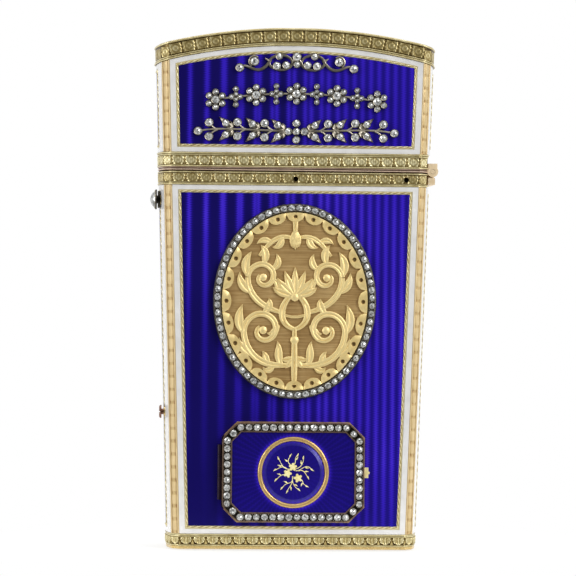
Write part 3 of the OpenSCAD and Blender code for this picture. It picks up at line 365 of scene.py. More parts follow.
class Mat(Nodes):
    """A material with its shader."""

    def __init__(self, name):
        self.mat = bpy.data.materials.new(name)
        self.mat.use_nodes = True
        super().__init__(self.mat.node_tree)
        self.bsdf = self.nt.nodes["Principled BSDF"]
        self.coord = None

    def scaled(self, source, scale):
        return self.node("ShaderNodeMapping", {"Scale": scale, "Vector": source}).outputs["Vector"]

    def mm(self):
        """Position on the piece, in millimetres."""
        if self.coord is None:
            tc = self.node("ShaderNodeTexCoord")
            self.coord = self.scaled(tc.outputs["Object"], (1000, 1000, 1000))
        return self.coord

    def noise(self, scale, detail=3.0, rough=0.55, stretch=None):
        vector = self.scaled(self.mm(), stretch) if stretch else self.mm()
        n = self.node("ShaderNodeTexNoise", {"Scale": scale, "Detail": detail,
                                             "Roughness": rough, "Vector": vector})
        return Val(self, n.outputs["Fac"])

    def tone(self):
        return Val(self, self.node("ShaderNodeAttribute", attribute_name="tone").outputs["Fac"])

    def colour(self, fac, stops):
        """Base colour along stops of [position, red, green, blue]."""
        n = self.node("ShaderNodeValToRGB", {0: fac})
        e = n.color_ramp.elements
        while len(e) < len(stops):
            e.new(0.5)
        for k, (p, *rgb) in enumerate(stops):
            e[k].position = p
            e[k].color = lin(rgb)
        self.link(n.outputs["Color"], self.bsdf.inputs["Base Color"])

    def rough(self, fac, low, high):
        n = self.node("ShaderNodeMapRange", {"To Min": low, "To Max": high, "Value": fac})
        self.link(n.outputs["Result"], self.bsdf.inputs["Roughness"])

    def bump(self, height, strength, distance):
        n = self.node("ShaderNodeBump", {"Strength": strength, "Distance": distance * MM,
                                         "Height": height})
        self.link(n.outputs["Normal"], self.bsdf.inputs["Normal"])

    def set(self, **values):
        for k, v in values.items():
            self.bsdf.inputs[k.replace("_", " ")].default_value = v


def metal(name, stops, low, high, grain=3.0, relief=0.3, painted_relief_shade=False, metallic=1.0):
    """Worked metal: colour stops from hollow to crest, worn in patches, roughness from low to
    high, and the scale and the relief of a fine hammered grain. When the stops follow the tone,
    they paint shade into the hollows and a highlight onto the crests."""
    m = Mat(name)
    wear = m.noise(0.55, 4.0)
    fine = m.noise(grain, 3.0)
    base = m.tone() if painted_relief_shade else m.noise(1.7, 3.0)
    m.colour((base + (wear - 0.5) * 0.55).clamp(), stops)
    m.rough(fine, low, high)
    m.bump(fine, relief, 0.03)
    m.set(Metallic=metallic)
    return m.mat


# The golds below that follow the tone paint shade into their hollows and a highlight onto their
# crests.
chased_gold = metal("chased_gold", [(0.0, 64, 48, 20), (0.25, 136, 116, 66), (0.62, 180, 162, 106),
                                    (0.92, 246, 236, 188)],
                    0.24, 0.42, 5.0, 0.4, painted_relief_shade=True, metallic=0.6)
plain_gold = metal("plain_gold", [(0.2, 208, 178, 114), (0.8, 228, 202, 138)],
                   0.22, 0.32, 0.8, 0.08, metallic=0.65)
rope_gold = metal("rope_gold", [(0.0, 112, 94, 50), (0.35, 196, 178, 118), (0.75, 232, 218, 168),
                                (1.0, 254, 246, 206)],
                  0.3, 0.42, 6.0, 0.2, painted_relief_shade=True, metallic=0.5)
pink_gold = metal("pink_gold", [(0.2, 222, 190, 144), (0.8, 246, 222, 180)],
                  0.24, 0.4, metallic=0.35)
edge_gold = metal("edge_gold", [(0.2, 112, 90, 74), (0.8, 176, 148, 122)],
                  0.24, 0.4, metallic=0.7)
# Pink gold darkened as painted shade, for the side button.
pink_gold_painted_shade = metal("pink_gold_painted_shade", [(0.2, 104, 70, 56), (0.8, 158, 118, 98)],
                    0.26, 0.42, metallic=0.6)
ring_gold = metal("ring_gold", [(0.2, 218, 178, 108), (0.8, 242, 208, 142)],
                  0.16, 0.26, 2.0, 0.05, metallic=0.55)
pale_gold = metal("pale_gold", [(0.0, 160, 128, 48), (0.4, 226, 202, 104), (0.8, 248, 232, 150),
                                (1.0, 255, 248, 196)],
                  0.3, 0.44, 4.0, 0.2, painted_relief_shade=True, metallic=0.3)
bright_gold = metal("bright_gold", [(0.2, 238, 218, 148), (0.8, 254, 240, 186)],
                    0.3, 0.44, metallic=0.2)
reed_gold = metal("reed_gold", [(0.0, 140, 98, 50), (0.4, 192, 164, 112), (0.8, 219, 196, 148),
                                (1.0, 236, 216, 172)],
                  0.34, 0.5, 4.0, 0.25, painted_relief_shade=True, metallic=0.4)
# Rim gold: painted dark in the grooves as shade, and light on the bead as a highlight.
rim_gold = metal("rim_gold", [(0.0, 84, 62, 48), (0.5, 164, 132, 108), (1.0, 236, 210, 188)],
                 0.24, 0.4, 4.0, 0.25, painted_relief_shade=True, metallic=0.5)
hinge_gold = metal("hinge_gold", [(0.2, 238, 212, 170), (0.8, 252, 232, 196)],
                   0.3, 0.45, metallic=0.08)
openwork_gold = metal("openwork_gold", [(0.0, 84, 58, 24), (0.3, 182, 148, 84),
                                        (0.65, 226, 194, 120), (1.0, 246, 222, 156)],
                      0.36, 0.52, 4.0, 0.3, painted_relief_shade=True, metallic=0.45)
# The toned silver's dark hollows are partly its patina and partly painted shade from the tone, and
# its light crests a painted highlight.
silver = metal("toned_silver", [(0.0, 34, 31, 27), (0.4, 82, 77, 68), (0.8, 132, 125, 111),
                                (1.0, 178, 170, 154)], 0.25, 0.45, 5.0, 0.4, painted_relief_shade=True)
# Near black down in a hole: painted shade.
hole_painted_shade = metal("shaded_hole", [(0.0, 8, 6, 4), (0.3, 40, 30, 12), (0.8, 176, 156, 100)],
                  0.4, 0.6, painted_relief_shade=True)
spring_steel = metal("spring_steel", [(0.2, 120, 124, 130), (0.8, 164, 168, 174)], 0.25, 0.4)
blued_steel = metal("blued_steel", [(0.2, 16, 20, 66), (0.8, 34, 42, 112)], 0.2, 0.3)
graphite = metal("graphite", [(0.2, 40, 40, 42), (0.8, 70, 70, 74)], 0.4, 0.6, metallic=0.4)


def watch_gold():
    """Gold of the watch case, with painted shade along the hinge at its left."""
    m = Mat("watch_gold")
    x, _, _ = m.split(m.mm())
    wear = m.noise(0.4, 3.0)
    # Painted shade: the strip along the hinge at the left edge takes the dark stops.
    clear = ((x + (COVER_W / 2 - 0.2)) * 4.0).clamp()
    m.colour(clear * 0.6 + wear * 0.4, [(0.1, 26, 18, 40), (0.3, 58, 44, 52),
                                        (0.7, 206, 170, 112), (0.9, 230, 200, 142)])
    m.rough(wear, 0.26, 0.4)
    m.set(Metallic=0.7)
    return m.mat


def ground_gold():
    """Engraved ground of the medallion: fine level lines, worn in broad patches."""
    m = Mat("engraved_gold")
    _, _, z = m.split(m.mm())
    brush = m.noise(1.0, 4.0, 0.6, stretch=(0.16, 1.0, 5.0))
    lines = m.math("SINE", z * (tau / 0.22)) * 0.5 + 0.5
    wear = m.noise(0.16, 4.0)
    m.colour((brush * 0.75 + (wear - 0.35) * 0.7 + lines * 0.06).clamp(),
             [(0.15, 126, 92, 48), (0.5, 180, 146, 92), (0.85, 222, 192, 134)])
    m.rough(wear, 0.42, 0.58)
    m.bump(lines * 0.5 + brush, 0.3, 0.04)
    m.set(Metallic=0.55)
    return m.mat


# Pitch and shift of the painted streaks of light, and the pitches of the ripples in the streaks and
# the rays
STREAK, STREAK_SHIFT = 2.846, 1.34 + HALF_D
RIPPLE, RAY_RIPPLE = 0.3, 0.55


def painted_ray_light(m, x, z, broad, roundel):
    """Painted reflections of light in the rays of the cover, with a painted glow at its ring; the
    roundel's are wider and fainter.
    """
    dz = z - COVER_Z
    r = m.math("SQRT", x * x + dz * dz)
    wobble = m.math("SINE", r * (tau / RAY_RIPPLE)) * 0.6
    rays = m.math("COSINE", m.math("ARCTAN2", dz, x) * (36 if roundel else 72) + wobble)
    streak = (rays * 0.5 + 0.5) ** 2.0
    edge = r - (RING_R - 0.8 if roundel else RING_R + 0.1)
    painted_halo = (1.0 - m.math("ABSOLUTE", edge) * 1.1).clamp() ** 2.0
    light = streak * (0.08 if roundel else 0.16) + painted_halo * 0.55
    return (light + broad * (0.42 if roundel else 0.2)).clamp()


def painted_streak_light(m, x, y, z, broad, ripple):
    """Painted reflections: upright streaks of light that part into two towards the right, weakest at
    the lower left, with painted light brightening the right.
    """
    slow = (m.noise(0.1, 2.0, stretch=(1, 1, 0.35)) - 0.5) * 0.12
    u = x + y + STREAK_SHIFT + (ripple * 0.17 + slow)
    part = m.math("MINIMUM", m.math("MAXIMUM", (x + 19.0) * 0.05, 0.0), STREAK / 2)
    # Painted light by place: these masks weaken the streaks towards the lower left, on the right and
    # on the lid, and brighten the right overall.
    left = ((2.0 - x) * (1 / 18.0)).clamp()
    right = ((x + 2.0) * (1 / 6.0)).clamp()
    high = ((z - 10.0) * (1 / 48.0)).clamp()
    low = right * ((15.0 - z) * 0.1).clamp()
    lid = ((z - LID_Z) * 10.0).clamp()
    power = 0.8 - left * (1.0 - high) * 0.68 - (right * 0.26 + lid * 0.1) - left * 0.1 - low * 0.2
    power = power * (m.noise(0.09, 2.0, stretch=(1, 1, 0.5)) * 0.6 + 0.7)
    first, second = [(m.math("COSINE", at * (tau / STREAK)) * 0.5 + 0.5) ** 4.5
                     for at in (u, u - part)]
    light = m.math("MAXIMUM", first, second) * power + right * (0.22 - low * 0.1)
    return (light + (broad - 0.5) * 0.12).clamp()


def blue_enamel(name, rays=False, roundel=False):
    """Translucent enamel over engine turning, under a clear gloss, with painted reflections of light
    in its colour.
    """
    m = Mat(name)
    x, y, z = m.split(m.mm())
    ripple = m.math("SINE", z * (tau / RIPPLE))
    broad = m.noise(0.06, 2.0)
    if rays:
        light = painted_ray_light(m, x, z, broad, roundel)
    else:
        light = painted_streak_light(m, x, y, z, broad, ripple)
    m.colour(light, [(0.0, 16, 8, 90), (0.35, 30, 15, 138), (0.7, 56, 33, 198), (1.0, 100, 68, 242)])
    m.rough(broad, 0.24, 0.36)
    m.bump(light + ripple * 0.12, 0.12, 0.05)
    m.set(Metallic=0.12, Specular_IOR_Level=0.15, Coat_Weight=0.7,
          Coat_Roughness=0.25 if roundel else 0.04, Coat_IOR=1.45)
    return m.mat


def white_enamel(name, lo, hi):
    m = Mat(name)
    cloud = m.noise(0.4, 4.0)
    m.colour(cloud, [(0.25, *lo), (0.75, *hi)])
    m.rough(cloud, 0.18, 0.32)
    m.bump(m.noise(4.0, 2.0), 0.08, 0.02)
    m.set(Coat_Weight=0.6, Coat_Roughness=0.06)
    return m.mat


def rose_stone():
    """Old cut stone over a silver foil, with painted glints: each facet is painted bright or dark by
    its tone.
    """
    m = Mat("rose_stone")
    m.colour(m.tone(), [(0.0, 72, 72, 69), (0.35, 124, 125, 122), (0.7, 168, 170, 167),
                        (0.92, 214, 216, 214)])
    m.rough(m.noise(1.5), 0.03, 0.1)
    m.set(Metallic=0.3, Coat_Weight=1.0, Coat_Roughness=0.02, Coat_IOR=2.2)
    return m.mat


def watch_crystal():
    m = Mat("watch_crystal")
    smear = m.noise(0.3, 3.0)
    m.colour(smear, [(0.3, 244, 247, 250), (0.7, 255, 255, 255)])
    m.rough(smear, 0.0, 0.04)
    m.set(Transmission_Weight=1.0, IOR=1.45)
    return m.mat


def ivory():
    m = Mat("ivory")
    grain = m.noise(0.5, 5.0, stretch=(3.0, 1.0, 0.12))
    cloud = m.noise(0.07, 3.0)
    m.colour((grain * 0.6 + cloud * 0.5).clamp(),
             [(0.25, 214, 198, 160), (0.55, 236, 226, 198), (0.85, 247, 241, 222)])
    m.rough(cloud, 0.28, 0.42)
    m.bump(grain, 0.1, 0.03)
    return m.mat


white = white_enamel("white_enamel", (214, 213, 211), (232, 231, 229))
ink = white_enamel("dial_ink", (20, 20, 24), (44, 44, 50))
stone = rose_stone()


def dress(mat, *names):
    """Gives CAD nodes their finish."""
    for n in names:
        mats = nodes[n].data.materials
        mats.clear()
        mats.append(mat)


dress(plain_gold, "base_plate", "body_carcass", "lid_carcass", "lid_crown_plate",
      "push_tubes", "watch_mat", "centre_arbor", "watch_movement", "leaf_rivet", "pencil_finial")
dress(pink_gold, "partition_plate", "neck_ring", "catch_tongue", "pencil_barrel")
# The side button takes the pink gold painted darker as shade.
dress(pink_gold_painted_shade, "side_button")
dress(bright_gold, "thumb_piece")
dress(hinge_gold, "body_hinge_leaf", "lid_hinge_leaf", "lid_hinge_pin")
dress(watch_gold(), "watch_bezel", "cover_plate", "cover_hinge_pin")
dress(blue_enamel("blue_enamel"), "body_enamel_panels", "lid_enamel_panels")
dress(white, "body_white_borders", "lid_white_borders")
dress(ground_gold(), "oval_ground")
dress(blue_enamel("sunburst_enamel", rays=True), "cover_enamel")
dress(blue_enamel("roundel_enamel", rays=True, roundel=True), "cover_roundel")
dress(spring_steel, "catch_spring")
dress(white_enamel("dial_enamel", (240, 238, 230), (250, 248, 243)), "watch_dial")
dress(watch_crystal(), "watch_glass")
dress(blued_steel, "minute_hand", "hour_hand")
dress(ivory(), "ivory_leaves")
dress(graphite, "pencil_lead")

# Points of a plan outline between which a moulding leaves room for the hinge
HINGE_FROM, HINGE_TO = 3, 14
FIELD = 0.1


def sweep(shape, profile, cuts=1, arch=False, hinge=False):
    """Moulding round the plan from points [proud, height or drop, tone]."""
    rows = []
    for proud, level, _ in profile:
        row = []
        for p in plan_ring(-proud, cuts):
            if arch:
                x, y, _ = flared(p, SHOULDER_Z)
                row.append((x, y, arch_z(x, level)))
            else:
                row.append(flared(p, level))
        rows.append(row[HINGE_TO:] + row[:HINGE_FROM] if hinge else row)
    shape.grid(rows, [t for _, _, t in profile], closed_rows=True, closed_cols=not hinge)
    if hinge:
        m, n = len(rows), len(rows[0])
        base = len(shape.verts) - m * n
        shape.faces.append(tuple(base + j * n for j in range(m)))
        shape.faces.append(tuple(base + j * n + n - 1 for j in reversed(range(m))))


def lips(levels, step=0.0):
    """Profile of a border: rounded lips [from, to, proud], and a back that rises by a step."""
    out, back = [], SKIN - FIT
    for z0, z1, proud in levels:
        # The tones paint a highlight on the front of each lip and shade where it turns in.
        for k in range(6):
            a = pi * (k / 5 - 0.5)
            out.append((-FIELD + (proud + FIELD) * (0.25 + 0.75 * cos(a)),
                        (z0 + z1) / 2 + (z1 - z0) / 2 * sin(a), 0.05 + 0.78 * cos(a)))
    first, last = levels[0][0], levels[-1][1]
    if step:
        out += [(-FIELD - 0.1, last, 0.0), (-FIELD - 0.1, last + step, 0.0)]
    return out + [(-back, last + step, 0.2), (-back, first, 0.2)]


def hump(x, at, width):
    return exp(-((x - at) / width) ** 2)


# Looks of a chased leaf: brightness of its painted highlights, darkest tone of its painted shade,
# taper, relief, and how much of an eye takes the place of its rib and veins
BASE_LEAF = (1.05, 0.0, 0.37, 1.1, 0.0)
UPPER_LEAF = (1.0, 0.05, 0.1, 0.7, 0.45)
LID_LEAF = (1.24, 0.05, 0.1, 0.7, 0.45)
CORNICE_LEAF = (0.92, 0.16, 0.05, 0.56, 0.72)
LEAF_ROWS, LEAF_COLS = 15, 25
PITCH = 2.32


def leaf_relief(u, t, width, height, taper, eye):
    """How far a leaf stands out at [across, down]: two lobes and a rib, with darts beside it."""
    a, plain = abs(u), 1.0 - eye
    half = 0.45 - taper * max(0.0, t - 0.45) ** 1.6 / 0.38 + 0.03 * cos(6 * pi * t)
    inside = min(1.0, max(0.0, (half - a) / 0.05))
    lobe = 0.17 * inside * (0.75 + 0.25 * hump(a, 0.55 * half, 0.12))
    rim = 0.085 * hump(a, half - 0.07, 0.035) * inside
    vein = plain * 0.035 * cos(46 * (a + 0.35 * t)) * inside * (1 - t)
    rib = plain * 0.07 * hump(a, 0.0, 0.045) * inside
    groove = -0.07 * plain * hump(a, 0.1, 0.03) * inside * (1 - 0.6 * t)
    dart = plain * 0.15 * hump(a, 0.5, 0.02 + 0.1 * t * t)
    r = hypot(width * u, height * (t - 0.5))
    boss = eye * inside * (0.09 * hump(r, 0.36, 0.14) - 0.11 * hump(r, 0.66, 0.11))
    return 0.02 + lobe + rim + vein + rib + groove + dart * (1 - inside) + boss


def leaf_unit(width, height, look):
    """One chased leaf, as points [along, up, out], faces and tones; the tones paint a highlight
    where it stands out and shade where it sinks and along its edges.
    """
    bright, dark, taper, relief, eye = look
    lift = 0.14 * (1.0 - relief)
    verts, faces, tones = [], [], []
    for j in range(LEAF_ROWS):
        t = j / (LEAF_ROWS - 1)
        edge = j in (0, LEAF_ROWS - 1)
        for k in range(LEAF_COLS):
            u = k / (LEAF_COLS - 1) - 0.5
            out = leaf_relief(u, t, width, height, taper, eye)
            verts.append((width * u, height * (0.5 - t), -0.03 if edge else lift + relief * out))
            tones.append(0.0 if edge else max(dark, min(1.0, 3.6 * bright * out)))
    for j in range(LEAF_ROWS - 1):
        for k in range(LEAF_COLS - 1):
            a = j * LEAF_COLS + k
            faces.append((a, a + 1, a + LEAF_COLS + 1, a + LEAF_COLS))
    return verts, faces, tones


def place(shape, unit, o, along, up, out):
    verts, faces, tones = unit
    shape.add([Vector(o) + Vector(along) * a + Vector(up) * b + Vector(out) * c
               for a, b, c in verts], faces, tones)


def side_leaves(shape, z, height, look, count, sides):
    """Leaves on the bowed sides."""
    a, r = bow_angle(FIELD), BOW_R - FIELD
    unit = leaf_unit(2 * a * r / count, height, look)
    for sx in sides:
        for k in range(count):
            t = a * (2 * (k + 0.5) / count - 1)
            o = (sx * (BOW_X + FLARE * z + r * cos(t)), r * sin(t), z)
            out = Vector((sx * cos(t), sin(t), 0))
            place(shape, unit, o, (-out.y, out.x, 0), (sx * FLARE, 0, 1), out)


def corner_leaves(shape, z, height, look):
    unit = leaf_unit(CANT * ROOT2 * 1.1, height, look)
    p, q = half_plan(FIELD, 2)[:2]
    x, y = (p[0] + q[0]) / 2 + FLARE * z, (p[1] + q[1]) / 2
    for sx, sy in CORNERS:
        out = Vector((sx, sy, 0)).normalized()
        place(shape, unit, (sx * x, -sy * y, z), (-out.y, out.x, 0), (sx * FLARE, 0, 1), out)


def leaf_row(shape, z, height, look, hinge):
    """Leaves round the case at one height."""
    x = front_x(z) - FIELD * (ROOT2 - 1)
    n = round(2 * x / PITCH)
    w = 2 * x / n
    unit = leaf_unit(w, height, look)
    for k in range(n):
        u = -x + w * (k + 0.5)
        place(shape, unit, (u, -(HALF_D - FIELD), z), (1, 0, 0), (0, 0, 1), (0, -1, 0))
        place(shape, unit, (-u, HALF_D - FIELD, z), (-1, 0, 0), (0, 0, 1), (0, 1, 0))
    count = round(2 * bow_angle(FIELD) * (BOW_R - FIELD) / PITCH)
    side_leaves(shape, z, height, look, count, (-1,) if hinge else SIGNS)
    corner_leaves(shape, z, height, look)


def border(name, body, levels, leaf_z, leaf_h, look, hides, hinge=False, step=0.0):
    """Chased border: lips at their levels, and a row of leaves between them."""
    s = Shape()
    sweep(s, lips(levels, step), hinge=hinge)
    leaf_row(s, leaf_z, leaf_h, look, hinge)
    s.build(name, body, chased_gold, "gold", hides, 50)


def drilled_holes():
    """Two small drilled holes with a plain edge in the front of the upper border, their insides
    painted near black as shade.
    """
    s = Shape()
    profile = [(0.46, -0.05, 0.4), (0.44, -0.3, 0.4), (0.38, -0.33, 0.1), (0.34, -0.27, 0.0),
               (0.01, -0.26, 0.0)]
    for x in (0.0, FRONT - 0.35):
        rows = [[(x + r * cos(a), -HALF_D + y, BODY_H - UPPER_BAND / 2 + r * sin(a))
                 for a in angles(16)] for r, y, _ in profile]
        s.grid(rows, [t for _, _, t in profile], closed_cols=True)
    s.build("border_drilled_holes", "case", hole_painted_shade, "gold", (), 40)


def lid_rim():
    """Plain rim under the lid: a pink bead with a painted highlight between two grooves painted dark
    as shade.
    """
    s = Shape()
    z0, z1, back = BODY_H + 0.1, LID_Z - 0.02, SKIN + 0.7
    profile = [(-back, z0, 0.3), (-0.12, z0, 0.0), (0.02, z0 + 0.06, 0.6), (0.09, z0 + 0.14, 1.0),
               (0.08, z0 + 0.24, 1.0), (-0.02, z0 + 0.3, 0.4), (-0.2, z0 + 0.33, 0.0),
               (-0.2, z0 + 0.42, 0.0), (0.0, z0 + 0.45, 0.5), (0.06, z1, 0.8), (-back, z1, 0.3)]
    sweep(s, profile, hinge=True)
    s.build("lid_rim_grooved", "lid", rim_gold, "pink_gold", ["lid_rim"], 40)


def cornice():
    """Arched border of the lid: its leaves follow the arch on the front and back."""
    s = Shape()
    drops = [(CORNICE - 0.02, CORNICE - 0.34, 0.24), (CORNICE - 0.34, CORNICE - 0.62, 0.1),
             (0.42, 0.0, 0.25)]
    sweep(s, lips(drops), cuts=40, arch=True)
    mid, height = 1.45, 1.95
    r = CROWN_R - mid
    a1 = asin(front_x(SHOULDER_Z) / r)
    n = round(2 * a1 * r / PITCH)
    unit = leaf_unit(2 * a1 * r / n, height, CORNICE_LEAF)
    for k in range(n):
        t = a1 * (2 * (k + 0.5) / n - 1)
        c, d = cos(t), sin(t)
        x, y, z = r * d, -(HALF_D - FIELD), CASE_H - CROWN_R + r * c
        place(s, unit, (x, y, z), (c, 0, -d), (d, 0, c), (0, -1, 0))
        place(s, unit, (-x, -y, z), (-c, 0, -d), (-d, 0, c), (0, 1, 0))
    side_leaves(s, arch_z(side_x(SIDE_SHOULDER_Z), mid), height, CORNICE_LEAF, 5, SIGNS)
    corner_leaves(s, arch_z(CORNER + FLARE * CASE_H, mid), height, CORNICE_LEAF)
    s.build("lid_cornice_chased", "lid", chased_gold, "gold", ["lid_cornice"], 50)


border("base_border_chased", "case",
       [(0.5, 0.78, 0.1), (2.08, 2.36, 0.02), (2.36, 2.63, 0.1)],
       1.43, 1.36, BASE_LEAF, ["base_border"])
border("upper_border_chased", "case",
       [(UPPER_Z, UPPER_Z + 0.32, 0.2), (UPPER_Z + 0.32, UPPER_Z + 0.5, 0.06),
        (BODY_H - 0.32, BODY_H - 0.05, 0.16)],
       UPPER_Z + 1.27, 1.6, UPPER_LEAF, ["upper_border"], hinge=True, step=0.05)
drilled_holes()
border("lid_lower_border_chased", "lid",
       [(LID_Z + 0.02, LID_Z + 0.34, 0.2), (LID_PANEL_Z - 0.62, LID_PANEL_Z - 0.34, 0.08),
        (LID_PANEL_Z - 0.34, LID_PANEL_Z - 0.02, 0.2)],
       LID_Z + 1.16, 1.68, LID_LEAF, ["lid_lower_border"], hinge=True)
lid_rim()
cornice()

REED_R, REED_CYCLE, REED_GAP, REED_STEP = 0.62, 2.24, 0.5, 0.16
# The edge lines' tones paint a highlight on each raised line and shade where it dips beside it.
REED_EDGE = [(-1.0, 0.02, 0.6), (-0.93, 0.08, 0.85), (-0.78, 0.08, 0.75), (-0.7, -0.02, 0.2)]


def body_top(x):
    return UPPER_Z - FIT


def lid_top(x):
    return arch_z(x, CORNICE + FIT)


def reed_line(c):
    """Points [across, out, tone] of a pilaster, at a way up one long bead and its gap; the tones
    paint a highlight on the crest of the reed and shade on its sides and in the gap.
    """
    gap = c < REED_GAP
    if gap:
        r = REED_R - 0.1 + 0.07 * cos(tau * c / REED_GAP * 2)
    else:
        r = REED_R - 0.06 * (abs((c - REED_GAP) / (REED_CYCLE - REED_GAP) - 0.5) * 2) ** 4
    mid = [(r * sin(a), 0.14 * cos(a) * r / REED_R - 0.02,
            0.34 + 0.42 * cos(a) - (0.26 if gap else 0))
           for a in (radians(d) for d in range(-90, 91, 30))]
    return REED_EDGE + mid + [(-u, w, t) for u, w, t in reversed(REED_EDGE)]


def pilasters(name, body, z0, top, hides):
    """Canted corner strips: a reed cut into long beads, between thin edge lines."""
    s = Shape()
    height = top(front_x(CASE_H)) - z0
    steps = round(height / REED_STEP)
    out = Vector((1, -1)).normalized()
    for sx, sy in CORNERS:
        rows, tones = [], []
        for j in range(steps + 1):
            z = z0 + height * (j / steps)
            line = reed_line((z - z0) % REED_CYCLE)
            p0, p1 = Vector((front_x(z), -HALF_D)), Vector((CORNER + FLARE * z, -CHORD))
            ctr, half = (p0 + p1) / 2, (p1 - p0) / 2
            row = []
            for u, w, _ in line:
                q = ctr + half * u + out * w
                row.append((sx * q.x, -sy * q.y, min(z, top(q.x))))
            near = (sx * (p0.x - SEAM), sy * (HALF_D - FIT), row[0][2])
            y = CHORD - SEAM
            far = (sx * (side_x(z) - bow_drop(y) - FIT), sy * y, row[-1][2])
            rows.append([near] + row + [far])
            tones.append([0.6] + [max(0.0, min(1.0, t)) for _, _, t in line] + [0.6])
        s.grid(rows, tones)
    s.build(name, body, reed_gold, "pink_gold", hides, 60)


def white_edges(name, body, z0, top):
    """Narrow edge of the white enamel beside the pilasters, on all four faces."""
    s = Shape()
    thick = 0.1
    for sx, sy in CORNERS:
        face, side = [], []
        for k in range(9):
            z = z0 + (top(CORNER) - z0) * k / 8
            x1, y1 = front_x(z), CHORD
            x0, y0 = x1 - SEAM, y1 - SEAM
            face.append([(sx * x, sy * (HALF_D - d), min(z, top(x)))
                         for x, d in ((x0, 0.0), (x1, 0.0), (x1, thick), (x0, thick))])
            line = []
            for y, d in ((y0, 0.0), (y1, 0.0), (y1, thick), (y0, thick)):
                x = side_x(z) - bow_drop(y) - d
                line.append((sx * x, sy * y, min(z, top(x))))
            side.append(line)
        for rows in (face, side):
            s.grid(rows, closed_cols=True, caps=1)
    s.build(name, body, white, "white_enamel", (), 30)


pilasters("body_pilasters_reeded", "case", BASE_BAND, body_top, ["body_pilasters"])
pilasters("lid_pilasters_reeded", "lid", LID_PANEL_Z, lid_top, ["lid_pilasters"])
white_edges("body_white_edges", "case", BASE_BAND, body_top)
white_edges("lid_white_edges", "lid", LID_PANEL_Z, lid_top)

ROPE_R, ROPE_PITCH, ROPE_STEP = 0.14, 1.2, 0.2
SIDE_HALF = (BOW_R - SKIN) * sin(bow_angle(SKIN)) - FIT
ROPE_IN = WHITE_W + 0.62 * FILLET_W
BED_OUT, BED_IN = WHITE_W + FIT, WHITE_W + FILLET_W - FIT


def rope(shape, path, normal):
    """Twisted wire along a closed path of points; normal gives the way out at a point."""
    pts = []
    for k, p in enumerate(path):
        a, b = Vector(p), Vector(path[(k + 1) % len(path)])
        n = max(1, round((b - a).length / ROPE_STEP))
        pts += [a + (b - a) * (j / n) for j in range(n)]
    rows, tones, run = [], [], 0.0
    for k, p in enumerate(pts):
        after = pts[(k + 1) % len(pts)]
        along = (after - pts[k - 1]).normalized()
        out = Vector(normal(p))
        side = along.cross(out).normalized()
        row, tone = [], []
        for a in angles(8):
            lobe = cos(2 * (a - pi * run / ROPE_PITCH))
            q = ROPE_R * (1 + 0.26 * lobe)
            row.append(tuple(p + side * (q * cos(a)) + out * (q * sin(a) * 0.9)))
            # The tone paints a highlight on each turn of the wire and shade between the turns.
            tone.append(0.5 + 0.5 * lobe)
        rows.append(row)
        tones.append(tone)
        run += (after - p).length
    shape.grid(rows, tones, closed_rows=True, closed_cols=True)


def face_lines(pts):
    """A closed line of points [x, z] on the front and on the back."""
    return [[(x, sy * (HALF_D - FIT), z) for x, z in pts] for sy in (-1, 1)]


def side_lines(z0, z1, d):
    """Closed lines on the two bowed sides between two heights, at an inset from their edges."""
    half = SIDE_HALF - SIDE_WHITE_W + WHITE_W - d
    across = [half * (k / 4 - 1) for k in range(9)]
    line = [(y, z0) for y in across] + [(y, z1) for y in reversed(across)]
    return [[(sx * (side_x(z) - bow_drop(y) - FIT), y, z) for y, z in line] for sx in SIGNS]


def body_loops(d):
    """Closed lines at an inset from the panels' edges, on the four faces of the body."""
    z0, z1 = BASE_BAND + d, UPPER_Z - d
    x0, x1 = front_x(z0) - SEAM - d, front_x(z1) - SEAM - d
    return face_lines([(-x0, z0), (x0, z0), (x1, z1), (-x1, z1)]) + side_lines(z0, z1, d)


def lid_loops(d):
    """The same on the lid, where the front and the back end in an arch."""
    z0, drop = LID_PANEL_Z + d, CORNICE + d
    x0, x1 = front_x(z0) - SEAM - d, front_x(PANEL_SHOULDER_Z) - SEAM - d
    arch = [(x, arch_z(x, drop)) for x in (x1 * (1 - k / 16) for k in range(33))]
    z1 = arch_z(side_x(PANEL_SIDE_Z), drop)
    return face_lines([(-x0, z0), (x0, z0)] + arch) + side_lines(z0, z1, d)


def face_normal(p):
    return (0, copysign(1, p.y), 0)


def side_normal(p):
    sx = copysign(1, p.x)
    return Vector((sx * sqrt(BOW_R ** 2 - p.y ** 2), p.y, 0)).normalized()


def ropes(name, body, loops, hides):
    """Milled fillets round the blue panels: a twisted wire on a flat bed."""
    s = Shape()
    paths = zip(loops(ROPE_IN), loops(BED_OUT), loops(BED_IN))
    for k, (path, outer, inner) in enumerate(paths):
        rope(s, path, face_normal if k < 2 else side_normal)
        s.grid([outer, inner], [0.75, 0.6], closed_cols=True)
    s.build(name, body, rope_gold, "gold", hides, 60)


ropes("body_rope_fillets", "case", body_loops, ["body_fillets"])
ropes("lid_rope_fillets", "lid", lid_loops, ["lid_fillets"])

# Section of the oval's frame: points [inwards, up, tone], the tone dark in the channel and light on
# the lips, partly the silver's patina and partly painted shade and highlight
CHANNEL = [(0.0, 0.0, 0.2), (0.0, 0.55, 0.45), (0.1, 0.86, 0.9), (0.2, 0.88, 0.95),
           (0.27, 0.72, 0.4), (0.3, 0.5, 0.05), (0.7, 0.5, 0.05), (0.73, 0.72, 0.4),
           (0.8, 0.88, 0.95), (0.9, 0.86, 0.9), (1.0, 0.5, 0.4), (1.0, 0.0, 0.2)]
OVAL_STEPS, OVAL_STONES, ARC_STEPS = 144, 68, 1440
OVAL_T, OVAL_SEAT, OVAL_STONE_R, GRAIN_R = 0.95, 0.55, 0.62, 0.13
SCALLOPS, SCALLOP_HOLE, SCALLOP_MID = 24, 0.33, 0.78
ARABESQUE_A, ARABESQUE_B = 12.6, 15.2


